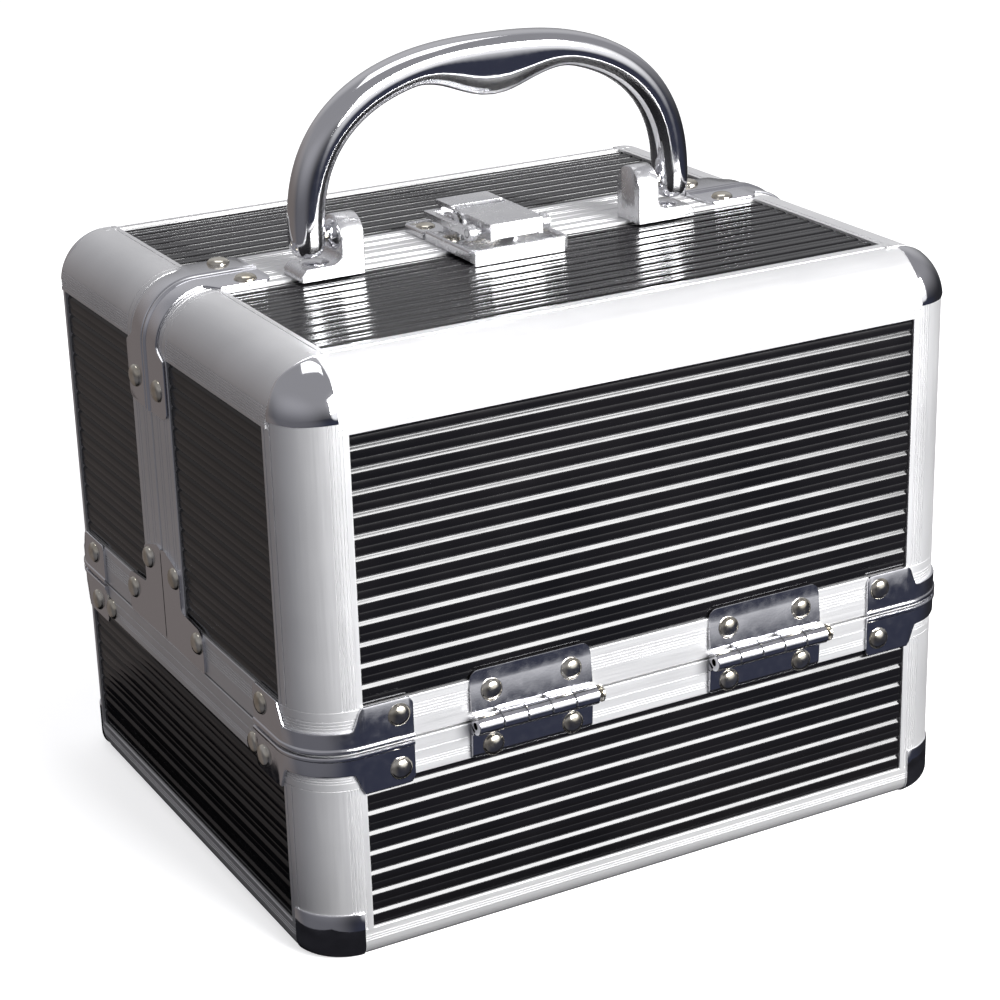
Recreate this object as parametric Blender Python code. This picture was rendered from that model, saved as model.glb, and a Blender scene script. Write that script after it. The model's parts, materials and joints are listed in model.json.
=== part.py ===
"""Makeup train case: base box, two lids split along the top, cantilever trays, bail handle and draw latch.

Frame: metres, +Z up, X along the long faces, the front (hinged) face at -Y, the case standing on z = 0.
"""
import math

import bmesh
import bpy
from mathutils import Matrix, Vector

MM = 0.001

# Case
HALF_LENGTH = 100 * MM
HALF_DEPTH = 82 * MM
HEIGHT = 160 * MM
EDGE_RADIUS = 15 * MM
EDGE_SEGMENTS = 5
SEAM_Z = 59.5 * MM
SEAM_GAP = 0.6 * MM
SPLIT_Y = 6 * MM
LID_OPEN = math.radians(100)

# Skins, one inside the other: aluminium outside, board inside
SKIN = 1.0 * MM
FIT = 0.2 * MM
BOARD_OUT = SKIN + FIT
BOARD_IN = 4.7 * MM
LIP_IN = 5.4 * MM
LIP = 1.2 * MM
FLOOR_TOP = 5.2 * MM

# Visible widths of the aluminium
POST_FRONT = 16.5 * MM
POST_SIDE = 14.0 * MM
TOP_RAIL_DROP = 17.2 * MM
TOP_RAIL_DEPTH = 15.0 * MM
TOP_SIDE_RAIL = 17.4 * MM
SIDE_RAIL_DROP = 16.0 * MM
RIM_BASE = 10.3 * MM
RIM_LID = 11.3 * MM
SEAM_STRIP = 13.4 * MM
BOTTOM_RAIL = 9.0 * MM
BOTTOM_FLANGE = 14.0 * MM

# Corner caps and seam saddles
CAP_LENGTH = 14 * MM
CAP_DEPTH = 12 * MM
CAP_HEIGHT = 14 * MM
CAP_PROUD = 0.4 * MM
FOOT_LIFT = 0.4 * MM
CAP_WALL = 1.2 * MM
SADDLE_WIDTH = 12.4 * MM
SADDLE_LEG_X = 32 * MM
SADDLE_LEG_Z = 33 * MM
SADDLE_THICK = 0.8 * MM
SADDLE_LIFT = 0.1 * MM

# Hinges
HINGE_X = 36 * MM
HINGE_WIDTH = 35.5 * MM
HINGE_OUT = 2.9 * MM
KNUCKLE_RADIUS = 2.6 * MM
KNUCKLES = 5
KNUCKLE_GAP = 0.3 * MM
HINGE_BORE = 1.5 * MM
HINGE_PIN_RADIUS = 1.2 * MM
HINGE_PIN_HEAD = 2.3 * MM
LEAF_IN = 0.2 * MM
LEAF_THICK = 1.1 * MM
LEAF_CLEARANCE = 0.43 * MM
NECK_LENGTH = 1.3 * MM
LID_LEAF_REACH = 14 * MM
BASE_LEAF_REACH = 10.5 * MM
RIVET_SPREAD = 11.7 * MM
RIVET_UP = 7.9 * MM
RIVET_DOWN = 7.2 * MM
RIVET_RADIUS = 3.1 * MM
RIVET_HEIGHT = 1.5 * MM

# Cantilever arms and trays, drawn for the front side
ARM_FOOT_Y = -62 * MM
ARM_FOOT_Z = 55 * MM
ARM_SPACING = 17 * MM
ARM_LOW = 34 * MM
ARM_HIGH = 70 * MM
ARM_TIP = 77 * MM
ARM_LEAN_IN = math.radians(33)
ARM_LEAN_OUT = math.radians(40)
ARM_HALF_WIDTH = 3.5 * MM
ARM_X = (92.4 * MM, 93.6 * MM)
ARM_BORE = 1.8 * MM
STUD_RADIUS = 1.5 * MM
TRAY_HALF_LENGTH = 91.4 * MM
TRAY_BELOW_PIVOT = 10 * MM
TRAY_HEIGHT = 26.5 * MM
TRAY_WALL = 1.6 * MM
TRAY_MIDDLE_Y = -3 * MM
TRAY_LOW_FRONT_Y = -71 * MM
TRAY_HIGH_FRONT_Y = -75.5 * MM
TRAY_RADIUS = 4 * MM
TRAY_ROUND_STEPS = 3
SLOT_PLATE_X = (94.0 * MM, 95.1 * MM)
SLOT_HALF = 1.9 * MM
SLOT_PLATE_HALF = 5 * MM
SLOT_STEPS = 10
SLOT_END = math.radians(3)

# Handle
HANDLE_X = -2.3 * MM
HANDLE_Y = -7.6 * MM
HANDLE_Z = 170.2 * MM
HANDLE_HALF_SPAN = 56.1 * MM
HANDLE_RISE = 42.8 * MM
HANDLE_SQUARENESS = 2.5
HANDLE_THICK = 4.7 * MM
HANDLE_DEPTH = 5.3 * MM
HANDLE_FOOT = 5.0 * MM
GRIP_BUMP = 7.2 * MM
GRIP_BUMP_HALF = 26 * MM
HANDLE_SECTION = 12
HANDLE_RINGS = 30
FOOT_TURNS = (25, 50, 70)
BRACKET_X = (42.3 * MM, 48.9 * MM, 60.7 * MM)
BRACKET_Y = (-13.6 * MM, -2.0 * MM)
BRACKET_LIFT = 0.1 * MM
BRACKET_PLATE = 3.3 * MM
BRACKET_TOP = 175.7 * MM
BRACKET_ROUND = 5.6 * MM
BRACKET_ROUND_STEPS = 6
BRACKET_CHAMFER = 1.6 * MM
HANDLE_PIN_RADIUS = 2.0 * MM
HANDLE_PIN_BORE = 2.3 * MM
HANDLE_PIN_X = (43.7 * MM, 56.3 * MM)
BRACKET_BORE_X = 43.3 * MM
HANDLE_BORE_X = 56.7 * MM

# Draw latch
LATCH_X = -1.8 * MM
LATCH_HALF = 15.2 * MM
LATCH_Y = (-21 * MM, 5.5 * MM)
LATCH_LIFT = 0.1 * MM
LATCH_PLATE = 1.4 * MM
LATCH_RIM = 1.4 * MM
LATCH_WALL = 1.2 * MM
LATCH_LIP_DROP = 0.9 * MM
EAR_X = (8.5 * MM, 9.7 * MM)
EAR_Y = (-2.5 * MM, 5.2 * MM)
EAR_TOP = 168.2 * MM
LEVER_PIVOT = (1.5 * MM, 165.9 * MM)
LEVER_PIN_RADIUS = 1.0 * MM
LEVER_BORE = 1.3 * MM
LEVER_HALF = 8.0 * MM
LEVER_Y = (-19 * MM, 2.5 * MM)
LEVER_TOP = 168.8 * MM
LEVER_SHEET = 1.2 * MM
LEVER_FLANGE_LOW = 164.3 * MM
LEVER_LIP_LOW = 164.6 * MM
LOOP_PIVOT = (-13.5 * MM, 165.9 * MM)
LOOP_STUD_RADIUS = 1.0 * MM
LOOP_BORE = 1.3 * MM
LOOP_BAR_X = (10.2 * MM, 12.4 * MM)
LOOP_Z = (165.0 * MM, 166.8 * MM)
LOOP_EYE = 2.2 * MM
LOOP_CROSS_Y = (9.6 * MM, 11.6 * MM)
LOOP_FLAP_Y = (3.5 * MM, 12.8 * MM)
LOOP_FLAP_Z = (168.0 * MM, 169.2 * MM)
KEEPER_Y = (7.2 * MM, 19.2 * MM)
KEEPER_RIVET = (10.6 * MM, 14.4 * MM)
LATCH_RIVET = (11.2 * MM, -1.5 * MM)
SMALL_RIVET_RADIUS = 2.8 * MM
SMALL_RIVET_HEIGHT = 1.2 * MM

HINGE_AXIS_Y = HALF_DEPTH + HINGE_OUT
BASE_TOP = SEAM_Z - SEAM_GAP / 2
LID_BOTTOM = SEAM_Z + SEAM_GAP / 2
LATCH_FOOT = HEIGHT + LATCH_LIFT
LATCH_TOP = LATCH_FOOT + LATCH_PLATE

# Segments round knuckles, round pins and rivets, and round studs
ROUND_STEPS = 12
SMALL_STEPS = 10
STUD_STEPS = 8
# A rivet's flat tip as a share of its radius
RIVET_TIP = 0.5
# How far cutters reach past a face, and past the whole case
PAST = 1 * MM
FAR = 300 * MM

COLOURS = {
    "aluminium": ((0.62, 0.62, 0.64), 0.32, 1.0),
    "chrome": ((0.80, 0.80, 0.82), 0.08, 1.0),
    "nickel": ((0.66, 0.60, 0.54), 0.18, 1.0),
    "black_board": ((0.016, 0.014, 0.016), 0.22, 0.0),
    "steel": ((0.50, 0.50, 0.52), 0.35, 1.0),
    "tray_plastic": ((0.03, 0.03, 0.033), 0.5, 0.0),
}


def material(name):
    """One Principled material for each colour, shared by the pieces made of it."""
    if name in bpy.data.materials:
        return bpy.data.materials[name]
    colour, roughness, metallic = COLOURS[name]
    made = bpy.data.materials.new(name)
    made.use_nodes = True
    shader = made.node_tree.nodes["Principled BSDF"]
    shader.inputs["Base Color"].default_value = (*colour, 1)
    shader.inputs["Roughness"].default_value = roughness
    shader.inputs["Metallic"].default_value = metallic
    made.diffuse_color = (*colour, 1)
    return made


def link(name, bm, finish=None, smooth=False):
    """Turns a bmesh into an object in the scene."""
    bmesh.ops.recalc_face_normals(bm, faces=bm.faces)
    mesh = bpy.data.meshes.new(name)
    bm.to_mesh(mesh)
    bm.free()
    obj = bpy.data.objects.new(name, mesh)
    bpy.context.scene.collection.objects.link(obj)
    if finish:
        obj.data.materials.append(material(finish))
    if smooth:
        obj.data.shade_smooth()
    return obj


def boolean(target, operation, *tools):
    """Applies one Boolean with each tool in turn, and removes the tools."""
    for tool in tools:
        modifier = target.modifiers.new("boolean", "BOOLEAN")
        modifier.object = tool
        modifier.operation = operation
        modifier.solver = "EXACT"
    depsgraph = bpy.context.evaluated_depsgraph_get()
    baked = bpy.data.meshes.new_from_object(target.evaluated_get(depsgraph))
    target.modifiers.clear()
    target.data = baked
    for tool in tools:
        bpy.data.objects.remove(tool)
    return target


def cut(target, *tools):
    return boolean(target, "DIFFERENCE", *tools)


def join(target, *tools):
    return boolean(target, "UNION", *tools)


def keep(target, *tools):
    return boolean(target, "INTERSECT", *tools)


def box(low, high, name="tool", finish=None):
    """A box between two corners, whichever way round each pair of numbers is."""
    bm = bmesh.new()
    bmesh.ops.create_cube(bm, size=1)
    size = [abs(b - a) for a, b in zip(low, high)]
    middle = [(a + b) / 2 for a, b in zip(low, high)]
    bmesh.ops.scale(bm, vec=size, verts=bm.verts)
    bmesh.ops.translate(bm, vec=middle, verts=bm.verts)
    return link(name, bm, finish)


def bar(axis, centre, radius, start, end, segments=SMALL_STEPS, name="tool", finish=None, tip=None):
    """A round bar along X, Y or Z between start and end; centre gives its other two coordinates."""
    bm = bmesh.new()
    bmesh.ops.create_cone(
        bm,
        cap_ends=True,
        segments=segments,
        radius1=radius,
        radius2=radius if tip is None else tip,
        depth=abs(end - start),
    )
    turned = {
        "x": Matrix.Rotation(math.radians(90), 4, "Y"),
        "y": Matrix.Rotation(math.radians(-90), 4, "X"),
        "z": Matrix.Identity(4),
    }[axis]
    if end < start:
        turned = turned @ Matrix.Rotation(math.pi, 4, "X")
    middle = {
        "x": Vector(((start + end) / 2, *centre)),
        "y": Vector((centre[0], (start + end) / 2, centre[1])),
        "z": Vector((*centre, (start + end) / 2)),
    }[axis]
    bmesh.ops.transform(bm, matrix=Matrix.Translation(middle) @ turned, verts=bm.verts)
    return link(name, bm, finish)


def prism(outline, x_low, x_high, name="tool", finish=None):
    """A closed outline in the YZ plane, extruded along X."""
    bm = bmesh.new()
    near = [bm.verts.new((x_low, y, z)) for y, z in outline]
    far = [bm.verts.new((x_high, y, z)) for y, z in outline]
    bm.faces.new(near)
    bm.faces.new(far)
    bmesh.ops.bridge_loops(bm, edges=[e for e in bm.edges if len(e.link_faces) == 1])
    return link(name, bm, finish)


def block(inset, floor, name="tool", finish=None):
    """The whole case, rounded on its upright and top edges, with every face moved in by inset."""
    low = (inset - HALF_LENGTH, inset - HALF_DEPTH, floor)
    high = (HALF_LENGTH - inset, HALF_DEPTH - inset, HEIGHT - inset)
    bm = bmesh.new()
    bmesh.ops.create_cube(bm, size=1)
    bmesh.ops.scale(bm, vec=[b - a for a, b in zip(low, high)], verts=bm.verts)
    bmesh.ops.translate(bm, vec=[(a + b) / 2 for a, b in zip(low, high)], verts=bm.verts)
    rounded = [e for e in bm.edges if max(v.co.z for v in e.verts) > floor + PAST]
    bmesh.ops.bevel(
        bm,
        geom=rounded,
        offset=EDGE_RADIUS - inset,
        offset_type="OFFSET",
        segments=EDGE_SEGMENTS,
        profile=0.5,
        affect="EDGES",
    )
    return link(name, bm, finish)


def skin(outside, inside, outside_floor, inside_floor, name, finish):
    """The space between two insets of the case."""
    return cut(block(outside, outside_floor, name, finish), block(inside, inside_floor))


def window_front(side, low, high):
    """A cutter for the panel of the front or the back face; side is -1 or 1."""
    reach = HALF_LENGTH - POST_FRONT
    return box((-reach, side * (HALF_DEPTH - EDGE_RADIUS), low), (reach, side * FAR, high))


def window_side(y_low, y_high, low, high):
    """A cutter that opens both end faces."""
    return box((-FAR, y_low, low), (FAR, y_high, high))


def corner_zone(x_side, y_side, top, spare=0.0):
    """The box that a corner cap fills, at the top or the bottom of the case."""
    x_in = HALF_LENGTH - CAP_LENGTH - spare
    y_in = HALF_DEPTH - CAP_DEPTH - spare
    z_in = HEIGHT - CAP_HEIGHT - spare if top else CAP_HEIGHT + spare
    z_out = FAR if top else -FAR
    return box((x_side * x_in, y_side * y_in, z_in), (x_side * FAR, y_side * FAR, z_out))


def corner_cap(name, x_side, y_side, top):
    """A chrome cap over one rounded corner, proud of the frame; the case stands on its bottom ones."""
    cap = skin(-CAP_PROUD, CAP_WALL - CAP_PROUD, 0.0, CAP_WALL - CAP_PROUD, name, "chrome")
    return keep(cap, corner_zone(x_side, y_side, top))


def make_base():
    shell = skin(BOARD_OUT, BOARD_IN, FOOT_LIFT + BOARD_OUT, FLOOR_TOP, "base_shell", "black_board")
    cut(shell, box((-FAR, -FAR, BASE_TOP - LIP - FIT), (FAR, FAR, FAR)))
    studs = []
    for x_side in (-1, 1):
        for y_side in (-1, 1):
            for foot in arm_feet():
                studs.append(
                    bar(
                        "x",
                        (-y_side * foot, ARM_FOOT_Z),
                        STUD_RADIUS,
                        x_side * (ARM_X[0] - FIT),
                        x_side * (HALF_LENGTH - (BOARD_IN + BOARD_OUT) / 2),
                        segments=STUD_STEPS,
                    )
                )
    join(shell, *studs)

    rim = skin(0.0, SKIN, 0.0, SKIN, "base_rim", "aluminium")
    cut(rim, box((-FAR, -FAR, -FAR), (FAR, FAR, SEAM_Z - RIM_BASE)))
    cut(rim, box((-FAR, -FAR, BASE_TOP), (FAR, FAR, FAR)))
    lip = skin(SKIN / 2, LIP_IN, 0.0, 0.0, "lip", None)
    keep(lip, box((-FAR, -FAR, BASE_TOP - LIP), (FAR, FAR, BASE_TOP)))
    join(rim, lip)

    frame = skin(0.0, SKIN, FOOT_LIFT, FOOT_LIFT + SKIN, "base_frame", "aluminium")
    frame_top = SEAM_Z - RIM_BASE - FIT
    cut(frame, box((-FAR, -FAR, frame_top), (FAR, FAR, FAR)))
    for y_side in (-1, 1):
        cut(frame, window_front(y_side, BOTTOM_RAIL, FAR))
    side_reach = HALF_DEPTH - POST_SIDE
    cut(frame, window_side(-side_reach, side_reach, BOTTOM_RAIL, FAR))
    flange = (HALF_LENGTH - BOTTOM_FLANGE, HALF_DEPTH - BOTTOM_FLANGE)
    cut(frame, box((-flange[0], -flange[1], -FAR), (flange[0], flange[1], BOTTOM_RAIL / 2)))
    for x_side, left_right in ((-1, "left"), (1, "right")):
        for y_side, front_back in ((-1, "front"), (1, "back")):
            cut(frame, corner_zone(x_side, y_side, False, FIT))
            corner_cap(f"foot_cap_{front_back}_{left_right}", x_side, y_side, False)


def lid_zone(y_side, spare=0.0, floor=LID_BOTTOM):
    """The half of the space above the seam that one lid fills."""
    edge = SPLIT_Y + y_side * (SEAM_GAP / 2 + spare)
    return box((-FAR, edge, floor), (FAR, y_side * FAR, FAR))


def make_lid(lid, y_side):
    """One lid: board shell, rim around its mouth, edge frame, caps, saddles and slotted plates."""
    shell = skin(BOARD_OUT, BOARD_IN, -FAR, -FAR, f"{lid}_shell", "black_board")
    keep(shell, lid_zone(y_side, LIP + FIT, LID_BOTTOM + LIP + FIT))

    rim_top = SEAM_Z + RIM_LID
    strip_edge = SPLIT_Y + y_side * SEAM_STRIP
    rim = skin(0.0, SKIN, -FAR, -FAR, f"{lid}_rim", "aluminium")
    keep(rim, lid_zone(y_side))
    cut(rim, box((-FAR, strip_edge, rim_top), (FAR, y_side * FAR, FAR)))
    bottom_lip = skin(SKIN / 2, LIP_IN, -FAR, -FAR, "bottom_lip", None)
    keep(bottom_lip, lid_zone(y_side))
    cut(bottom_lip, box((-FAR, -FAR, LID_BOTTOM + LIP), (FAR, FAR, FAR)))
    seam_lip = skin(SKIN / 2, LIP_IN, -FAR, -FAR, "seam_lip", None)
    keep(seam_lip, lid_zone(y_side))
    cut(seam_lip, lid_zone(y_side, LIP, -FAR))
    join(rim, bottom_lip, seam_lip)

    frame = skin(0.0, SKIN, -FAR, -FAR, f"{lid}_frame", "aluminium")
    keep(frame, box((-FAR, strip_edge + y_side * FIT, rim_top + FIT), (FAR, y_side * FAR, FAR)))
    cut(frame, window_front(y_side, -FAR, HEIGHT - TOP_RAIL_DROP))
    side_reach = y_side * (HALF_DEPTH - POST_SIDE)
    cut(frame, window_side(-y_side * FAR, side_reach, -FAR, HEIGHT - SIDE_RAIL_DROP))
    top_reach = HALF_LENGTH - TOP_SIDE_RAIL
    rail_edge = y_side * (HALF_DEPTH - TOP_RAIL_DEPTH)
    cut(frame, box((-top_reach, -y_side * FAR, HEIGHT - EDGE_RADIUS), (top_reach, rail_edge, FAR)))
    for x_side, left_right in ((-1, "left"), (1, "right")):
        cut(frame, corner_zone(x_side, y_side, True, FIT))
        corner_cap(f"{lid}_cap_{left_right}", x_side, y_side, True)
        make_saddle(f"{lid}_saddle_{left_right}", x_side, y_side)
        make_slot_plate(f"{lid}_slot_plate_{left_right}", x_side, y_side)


def make_saddle(name, x_side, y_side):
    """A chrome strap over the rounded top end of a lid's seam strip."""
    saddle = skin(-SADDLE_LIFT - SADDLE_THICK, -SADDLE_LIFT, -FAR, -FAR, name, "chrome")
    start = SPLIT_Y + y_side * SEAM_GAP / 2
    low_x = HALF_LENGTH - SADDLE_LEG_X
    zone = box(
        (x_side * low_x, start, HEIGHT - SADDLE_LEG_Z),
        (x_side * FAR, start + y_side * SADDLE_WIDTH, FAR),
    )
    return keep(saddle, zone)


def arm_feet():
    """How far the outer and the inner arm's foot lie from the middle plane, on the front side."""
    return (ARM_FOOT_Y, ARM_FOOT_Y + ARM_SPACING)


def arm_point(foot, reach, lean):
    """A point on a front arm, as (y, z), at a lean toward the middle of the case."""
    return (foot + reach * math.sin(lean), ARM_FOOT_Z + reach * math.cos(lean))


def slot_path():
    """The arm's lid stud as the lid sees it while both open, as (y, z) points of the closed case."""
    points = []
    for step in range(-1, SLOT_STEPS + 2):
        share = step / SLOT_STEPS
        if step in (-1, SLOT_STEPS + 1):
            share = min(max(share, 0), 1) + math.copysign(SLOT_END, step) / LID_OPEN
        lean = ARM_LEAN_IN - share * (ARM_LEAN_IN + ARM_LEAN_OUT)
        y, z = arm_point(ARM_FOOT_Y, ARM_TIP, lean)
        dy, dz = y + HINGE_AXIS_Y, z - SEAM_Z
        turn = share * LID_OPEN
        back_y = dy * math.cos(turn) + dz * math.sin(turn)
        back_z = dz * math.cos(turn) - dy * math.sin(turn)
        points.append((back_y - HINGE_AXIS_Y, back_z + SEAM_Z))
    return points


def ribbon(path, half_width, cap_steps=3):
    """The outline of a strip of constant width along a path, with round ends."""
    sides = ([], [])
    for i, (y, z) in enumerate(path):
        before = path[max(i - 1, 0)]
        after = path[min(i + 1, len(path) - 1)]
        along = Vector((after[0] - before[0], after[1] - before[1])).normalized()
        sides[0].append((y - along.y * half_width, z + along.x * half_width))
        sides[1].append((y + along.y * half_width, z - along.x * half_width))
    ends = []
    for tip, near in ((path[-1], path[-2]), (path[0], path[1])):
        heading = math.atan2(tip[1] - near[1], tip[0] - near[0])
        turns = [heading + math.pi * (0.5 - k / cap_steps) for k in range(1, cap_steps)]
        ends.append([(tip[0] + half_width * math.cos(a), tip[1] + half_width * math.sin(a)) for a in turns])
    return sides[0] + ends[0] + sides[1][::-1] + ends[1]


def mirrored(outline, y_side):
    """An outline drawn for the front side, moved to the side that is asked for."""
    return [(-y_side * y, z) for y, z in outline]


def make_slot_plate(name, x_side, y_side):
    """The plate on a lid's end wall whose slot drives the outer arm."""
    path = slot_path()
    low, high = (x_side * x for x in SLOT_PLATE_X)
    plate = prism(mirrored(ribbon(path, SLOT_PLATE_HALF), y_side), low, high, name, "steel")
    slot = prism(mirrored(ribbon(path, SLOT_HALF), y_side), low - x_side * PAST, high + x_side * PAST)
    return cut(plate, slot)


def make_arm(name, x_side, y_side, foot, reach, stud):
    """A flat arm with a bore at its foot and at each tray; the outer arm also carries the lid stud."""
    ends = [arm_point(foot, 0, ARM_LEAN_IN), arm_point(foot, reach, ARM_LEAN_IN)]
    low, high = (x_side * x for x in ARM_X)
    arm = prism(mirrored(ribbon(ends, ARM_HALF_WIDTH), y_side), low, high, name, "steel")
    for distance in (0, ARM_LOW, ARM_HIGH):
        y, z = arm_point(foot, distance, ARM_LEAN_IN)
        cut(arm, bar("x", (-y_side * y, z), ARM_BORE, low - x_side * PAST, high + x_side * PAST, STUD_STEPS))
    if stud:
        y, z = arm_point(foot, reach, ARM_LEAN_IN)
        start = x_side * (ARM_X[1] - FIT)
        join(arm, bar("x", (-y_side * y, z), STUD_RADIUS, start, x_side * (SLOT_PLATE_X[1] - FIT), STUD_STEPS))
    return arm


def make_tray(name, y_side, height_on_arm, front_y):
    """An open tray with two studs at each end, and a divider across its middle."""
    pivot_y, pivot_z = arm_point(ARM_FOOT_Y, height_on_arm, ARM_LEAN_IN)
    floor = pivot_z - TRAY_BELOW_PIVOT
    outer = (TRAY_HALF_LENGTH, y_side * -front_y, floor)
    inner_y = y_side * -TRAY_MIDDLE_Y
    tray = box((-outer[0], inner_y, floor), (outer[0], outer[1], floor + TRAY_HEIGHT), name, "tray_plastic")
    round_uprights(tray, TRAY_RADIUS)
    for side in (-1, 1):
        pocket = box(
            (side * TRAY_WALL / 2, inner_y + y_side * TRAY_WALL, floor + TRAY_WALL),
            (side * (TRAY_HALF_LENGTH - TRAY_WALL), outer[1] - y_side * TRAY_WALL, FAR),
        )
        round_uprights(pocket, TRAY_RADIUS - TRAY_WALL)
        cut(tray, pocket)
    studs = []
    for x_side in (-1, 1):
        for shift in (0, ARM_SPACING):
            place = (-y_side * (pivot_y + shift), pivot_z)
            start = x_side * (TRAY_HALF_LENGTH - TRAY_WALL / 2)
            studs.append(bar("x", place, STUD_RADIUS, start, x_side * (ARM_X[1] - FIT), STUD_STEPS))
    return join(tray, *studs)


def bevel_edges(obj, chosen, offset, segments):
    """Bevels the edges of an object for which chosen(start, end) is true."""
    bm = bmesh.new()
    bm.from_mesh(obj.data)
    edges = [e for e in bm.edges if chosen(*(v.co for v in e.verts))]
    bmesh.ops.bevel(bm, geom=edges, offset=offset, segments=segments, profile=0.5, affect="EDGES")
    bm.to_mesh(obj.data)
    bm.free()


def round_uprights(obj, radius):
    """Rounds the four upright edges of a box."""
    bevel_edges(obj, lambda a, b: abs(a.z - b.z) > radius, radius, TRAY_ROUND_STEPS)


def make_hinge_leaf(name, centre_x, y_side, up, knuckles):
    """One leaf of a butt hinge: plate, knuckles and two domed rivets; up is 1 on the lid, -1 on the base."""
    width = HINGE_WIDTH / KNUCKLES
    left = centre_x - HINGE_WIDTH / 2
    inner = y_side * (HALF_DEPTH + LEAF_IN)
    outer = inner + y_side * LEAF_THICK
    reach = LID_LEAF_REACH if up > 0 else BASE_LEAF_REACH
    plate_x = (left, left + HINGE_WIDTH)
    leaf = box(
        (plate_x[0], inner, SEAM_Z + up * (KNUCKLE_RADIUS + LEAF_CLEARANCE)),
        (plate_x[1], outer, SEAM_Z + up * reach),
        name,
        "chrome",
    )
    axis = (y_side * HINGE_AXIS_Y, SEAM_Z)
    for index in knuckles:
        low = left + index * width + (KNUCKLE_GAP / 2 if index else 0)
        high = left + (index + 1) * width - (KNUCKLE_GAP / 2 if index < KNUCKLES - 1 else 0)
        neck_in = inner + y_side * FIT
        neck = box((low, neck_in, SEAM_Z), (high, outer, SEAM_Z + up * (KNUCKLE_RADIUS + NECK_LENGTH)))
        join(leaf, neck, bar("x", axis, KNUCKLE_RADIUS, low, high, ROUND_STEPS))
    cut(leaf, bar("x", axis, HINGE_BORE, left - PAST, left + HINGE_WIDTH + PAST, SMALL_STEPS))
    rivet_z = SEAM_Z + (RIVET_UP if up > 0 else -RIVET_DOWN)
    for shift in (-RIVET_SPREAD, RIVET_SPREAD):
        base = outer - y_side * FIT
        tip = outer + y_side * RIVET_HEIGHT
        place = (centre_x + shift, rivet_z)
        join(leaf, bar("y", place, RIVET_RADIUS, base, tip, SMALL_STEPS, tip=RIVET_RADIUS * RIVET_TIP))
    return leaf


def make_hinge_pin(name, centre_x, y_side):
    """A hinge pin with a head at its +X end."""
    axis = (y_side * HINGE_AXIS_Y, SEAM_Z)
    right = centre_x + HINGE_WIDTH / 2
    head = right + KNUCKLE_GAP
    pin = bar(
        "x", axis, HINGE_PIN_RADIUS, centre_x - HINGE_WIDTH / 2, head + FIT, SMALL_STEPS, name, "nickel"
    )
    join(pin, bar("x", axis, KNUCKLE_RADIUS - FIT, head, right + HINGE_PIN_HEAD, SMALL_STEPS))
    pin.data.shade_smooth()
    return pin


def make_hinges(lid, y_side):
    front_back = "front" if y_side < 0 else "back"
    for x_side, left_right in ((-1, "left"), (1, "right")):
        centre = x_side * HINGE_X
        make_hinge_leaf(f"hinge_leaf_{front_back}_{left_right}", centre, y_side, -1, (0, 2, 4))
        make_hinge_leaf(f"{lid}_hinge_leaf_{left_right}", centre, y_side, 1, (1, 3))
        make_hinge_pin(f"hinge_pin_{front_back}_{left_right}", centre, y_side)


def make_arms_and_trays(front_back, y_side):
    for x_side, left_right in ((-1, "left"), (1, "right")):
        outer_foot, inner_foot = arm_feet()
        make_arm(f"{front_back}_outer_arm_{left_right}", x_side, y_side, outer_foot, ARM_TIP, True)
        make_arm(f"{front_back}_inner_arm_{left_right}", x_side, y_side, inner_foot, ARM_HIGH, False)
    make_tray(f"{front_back}_lower_tray", y_side, ARM_LOW, TRAY_LOW_FRONT_Y)
    make_tray(f"{front_back}_upper_tray", y_side, ARM_HIGH, TRAY_HIGH_FRONT_Y)


def handle_ring(angle):
    """Centre, outward direction, inner and outer half thickness of the handle at an angle of its arch."""
    power = 2 / HANDLE_SQUARENESS
    across, up = math.cos(angle), math.sin(angle)
    x = HANDLE_HALF_SPAN * math.copysign(abs(across) ** power, across)
    z = HANDLE_RISE * abs(up) ** power
    slope_x = abs(x / HANDLE_HALF_SPAN) ** (HANDLE_SQUARENESS - 1) / HANDLE_HALF_SPAN
    slope_z = abs(z / HANDLE_RISE) ** (HANDLE_SQUARENESS - 1) / HANDLE_RISE
    outward = Vector((math.copysign(slope_x, x), 0, slope_z)).normalized()
    bump = 0.0
    if abs(x) < GRIP_BUMP_HALF:
        bump = GRIP_BUMP * (1 + math.cos(math.pi * x / GRIP_BUMP_HALF)) / 2
    return Vector((HANDLE_X + x, HANDLE_Y, HANDLE_Z + z)), outward, HANDLE_THICK + bump, HANDLE_THICK


def ring_points(centre, outward, inner, outer, size=1.0):
    """An oval ring of the handle, thicker on one side of its centre line if asked."""
    points = []
    for step in range(HANDLE_SECTION):
        turn = 2 * math.pi * step / HANDLE_SECTION
        reach = math.cos(turn)
        radial = (outer if reach > 0 else inner) * reach * size
        points.append(centre + outward * radial + Vector((0, HANDLE_DEPTH * math.sin(turn) * size, 0)))
    return points


def foot_rings(x_side):
    """The rounded end of the handle below its pin, from the pin downwards."""
    centre, outward, inner, outer = handle_ring(0 if x_side > 0 else math.pi)
    rings = []
    for turn in (math.radians(a) for a in FOOT_TURNS):
        drop = Vector((0, 0, -HANDLE_FOOT * math.sin(turn)))
        rings.append(ring_points(centre + drop, outward, inner, outer, math.cos(turn)))
    return rings


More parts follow.
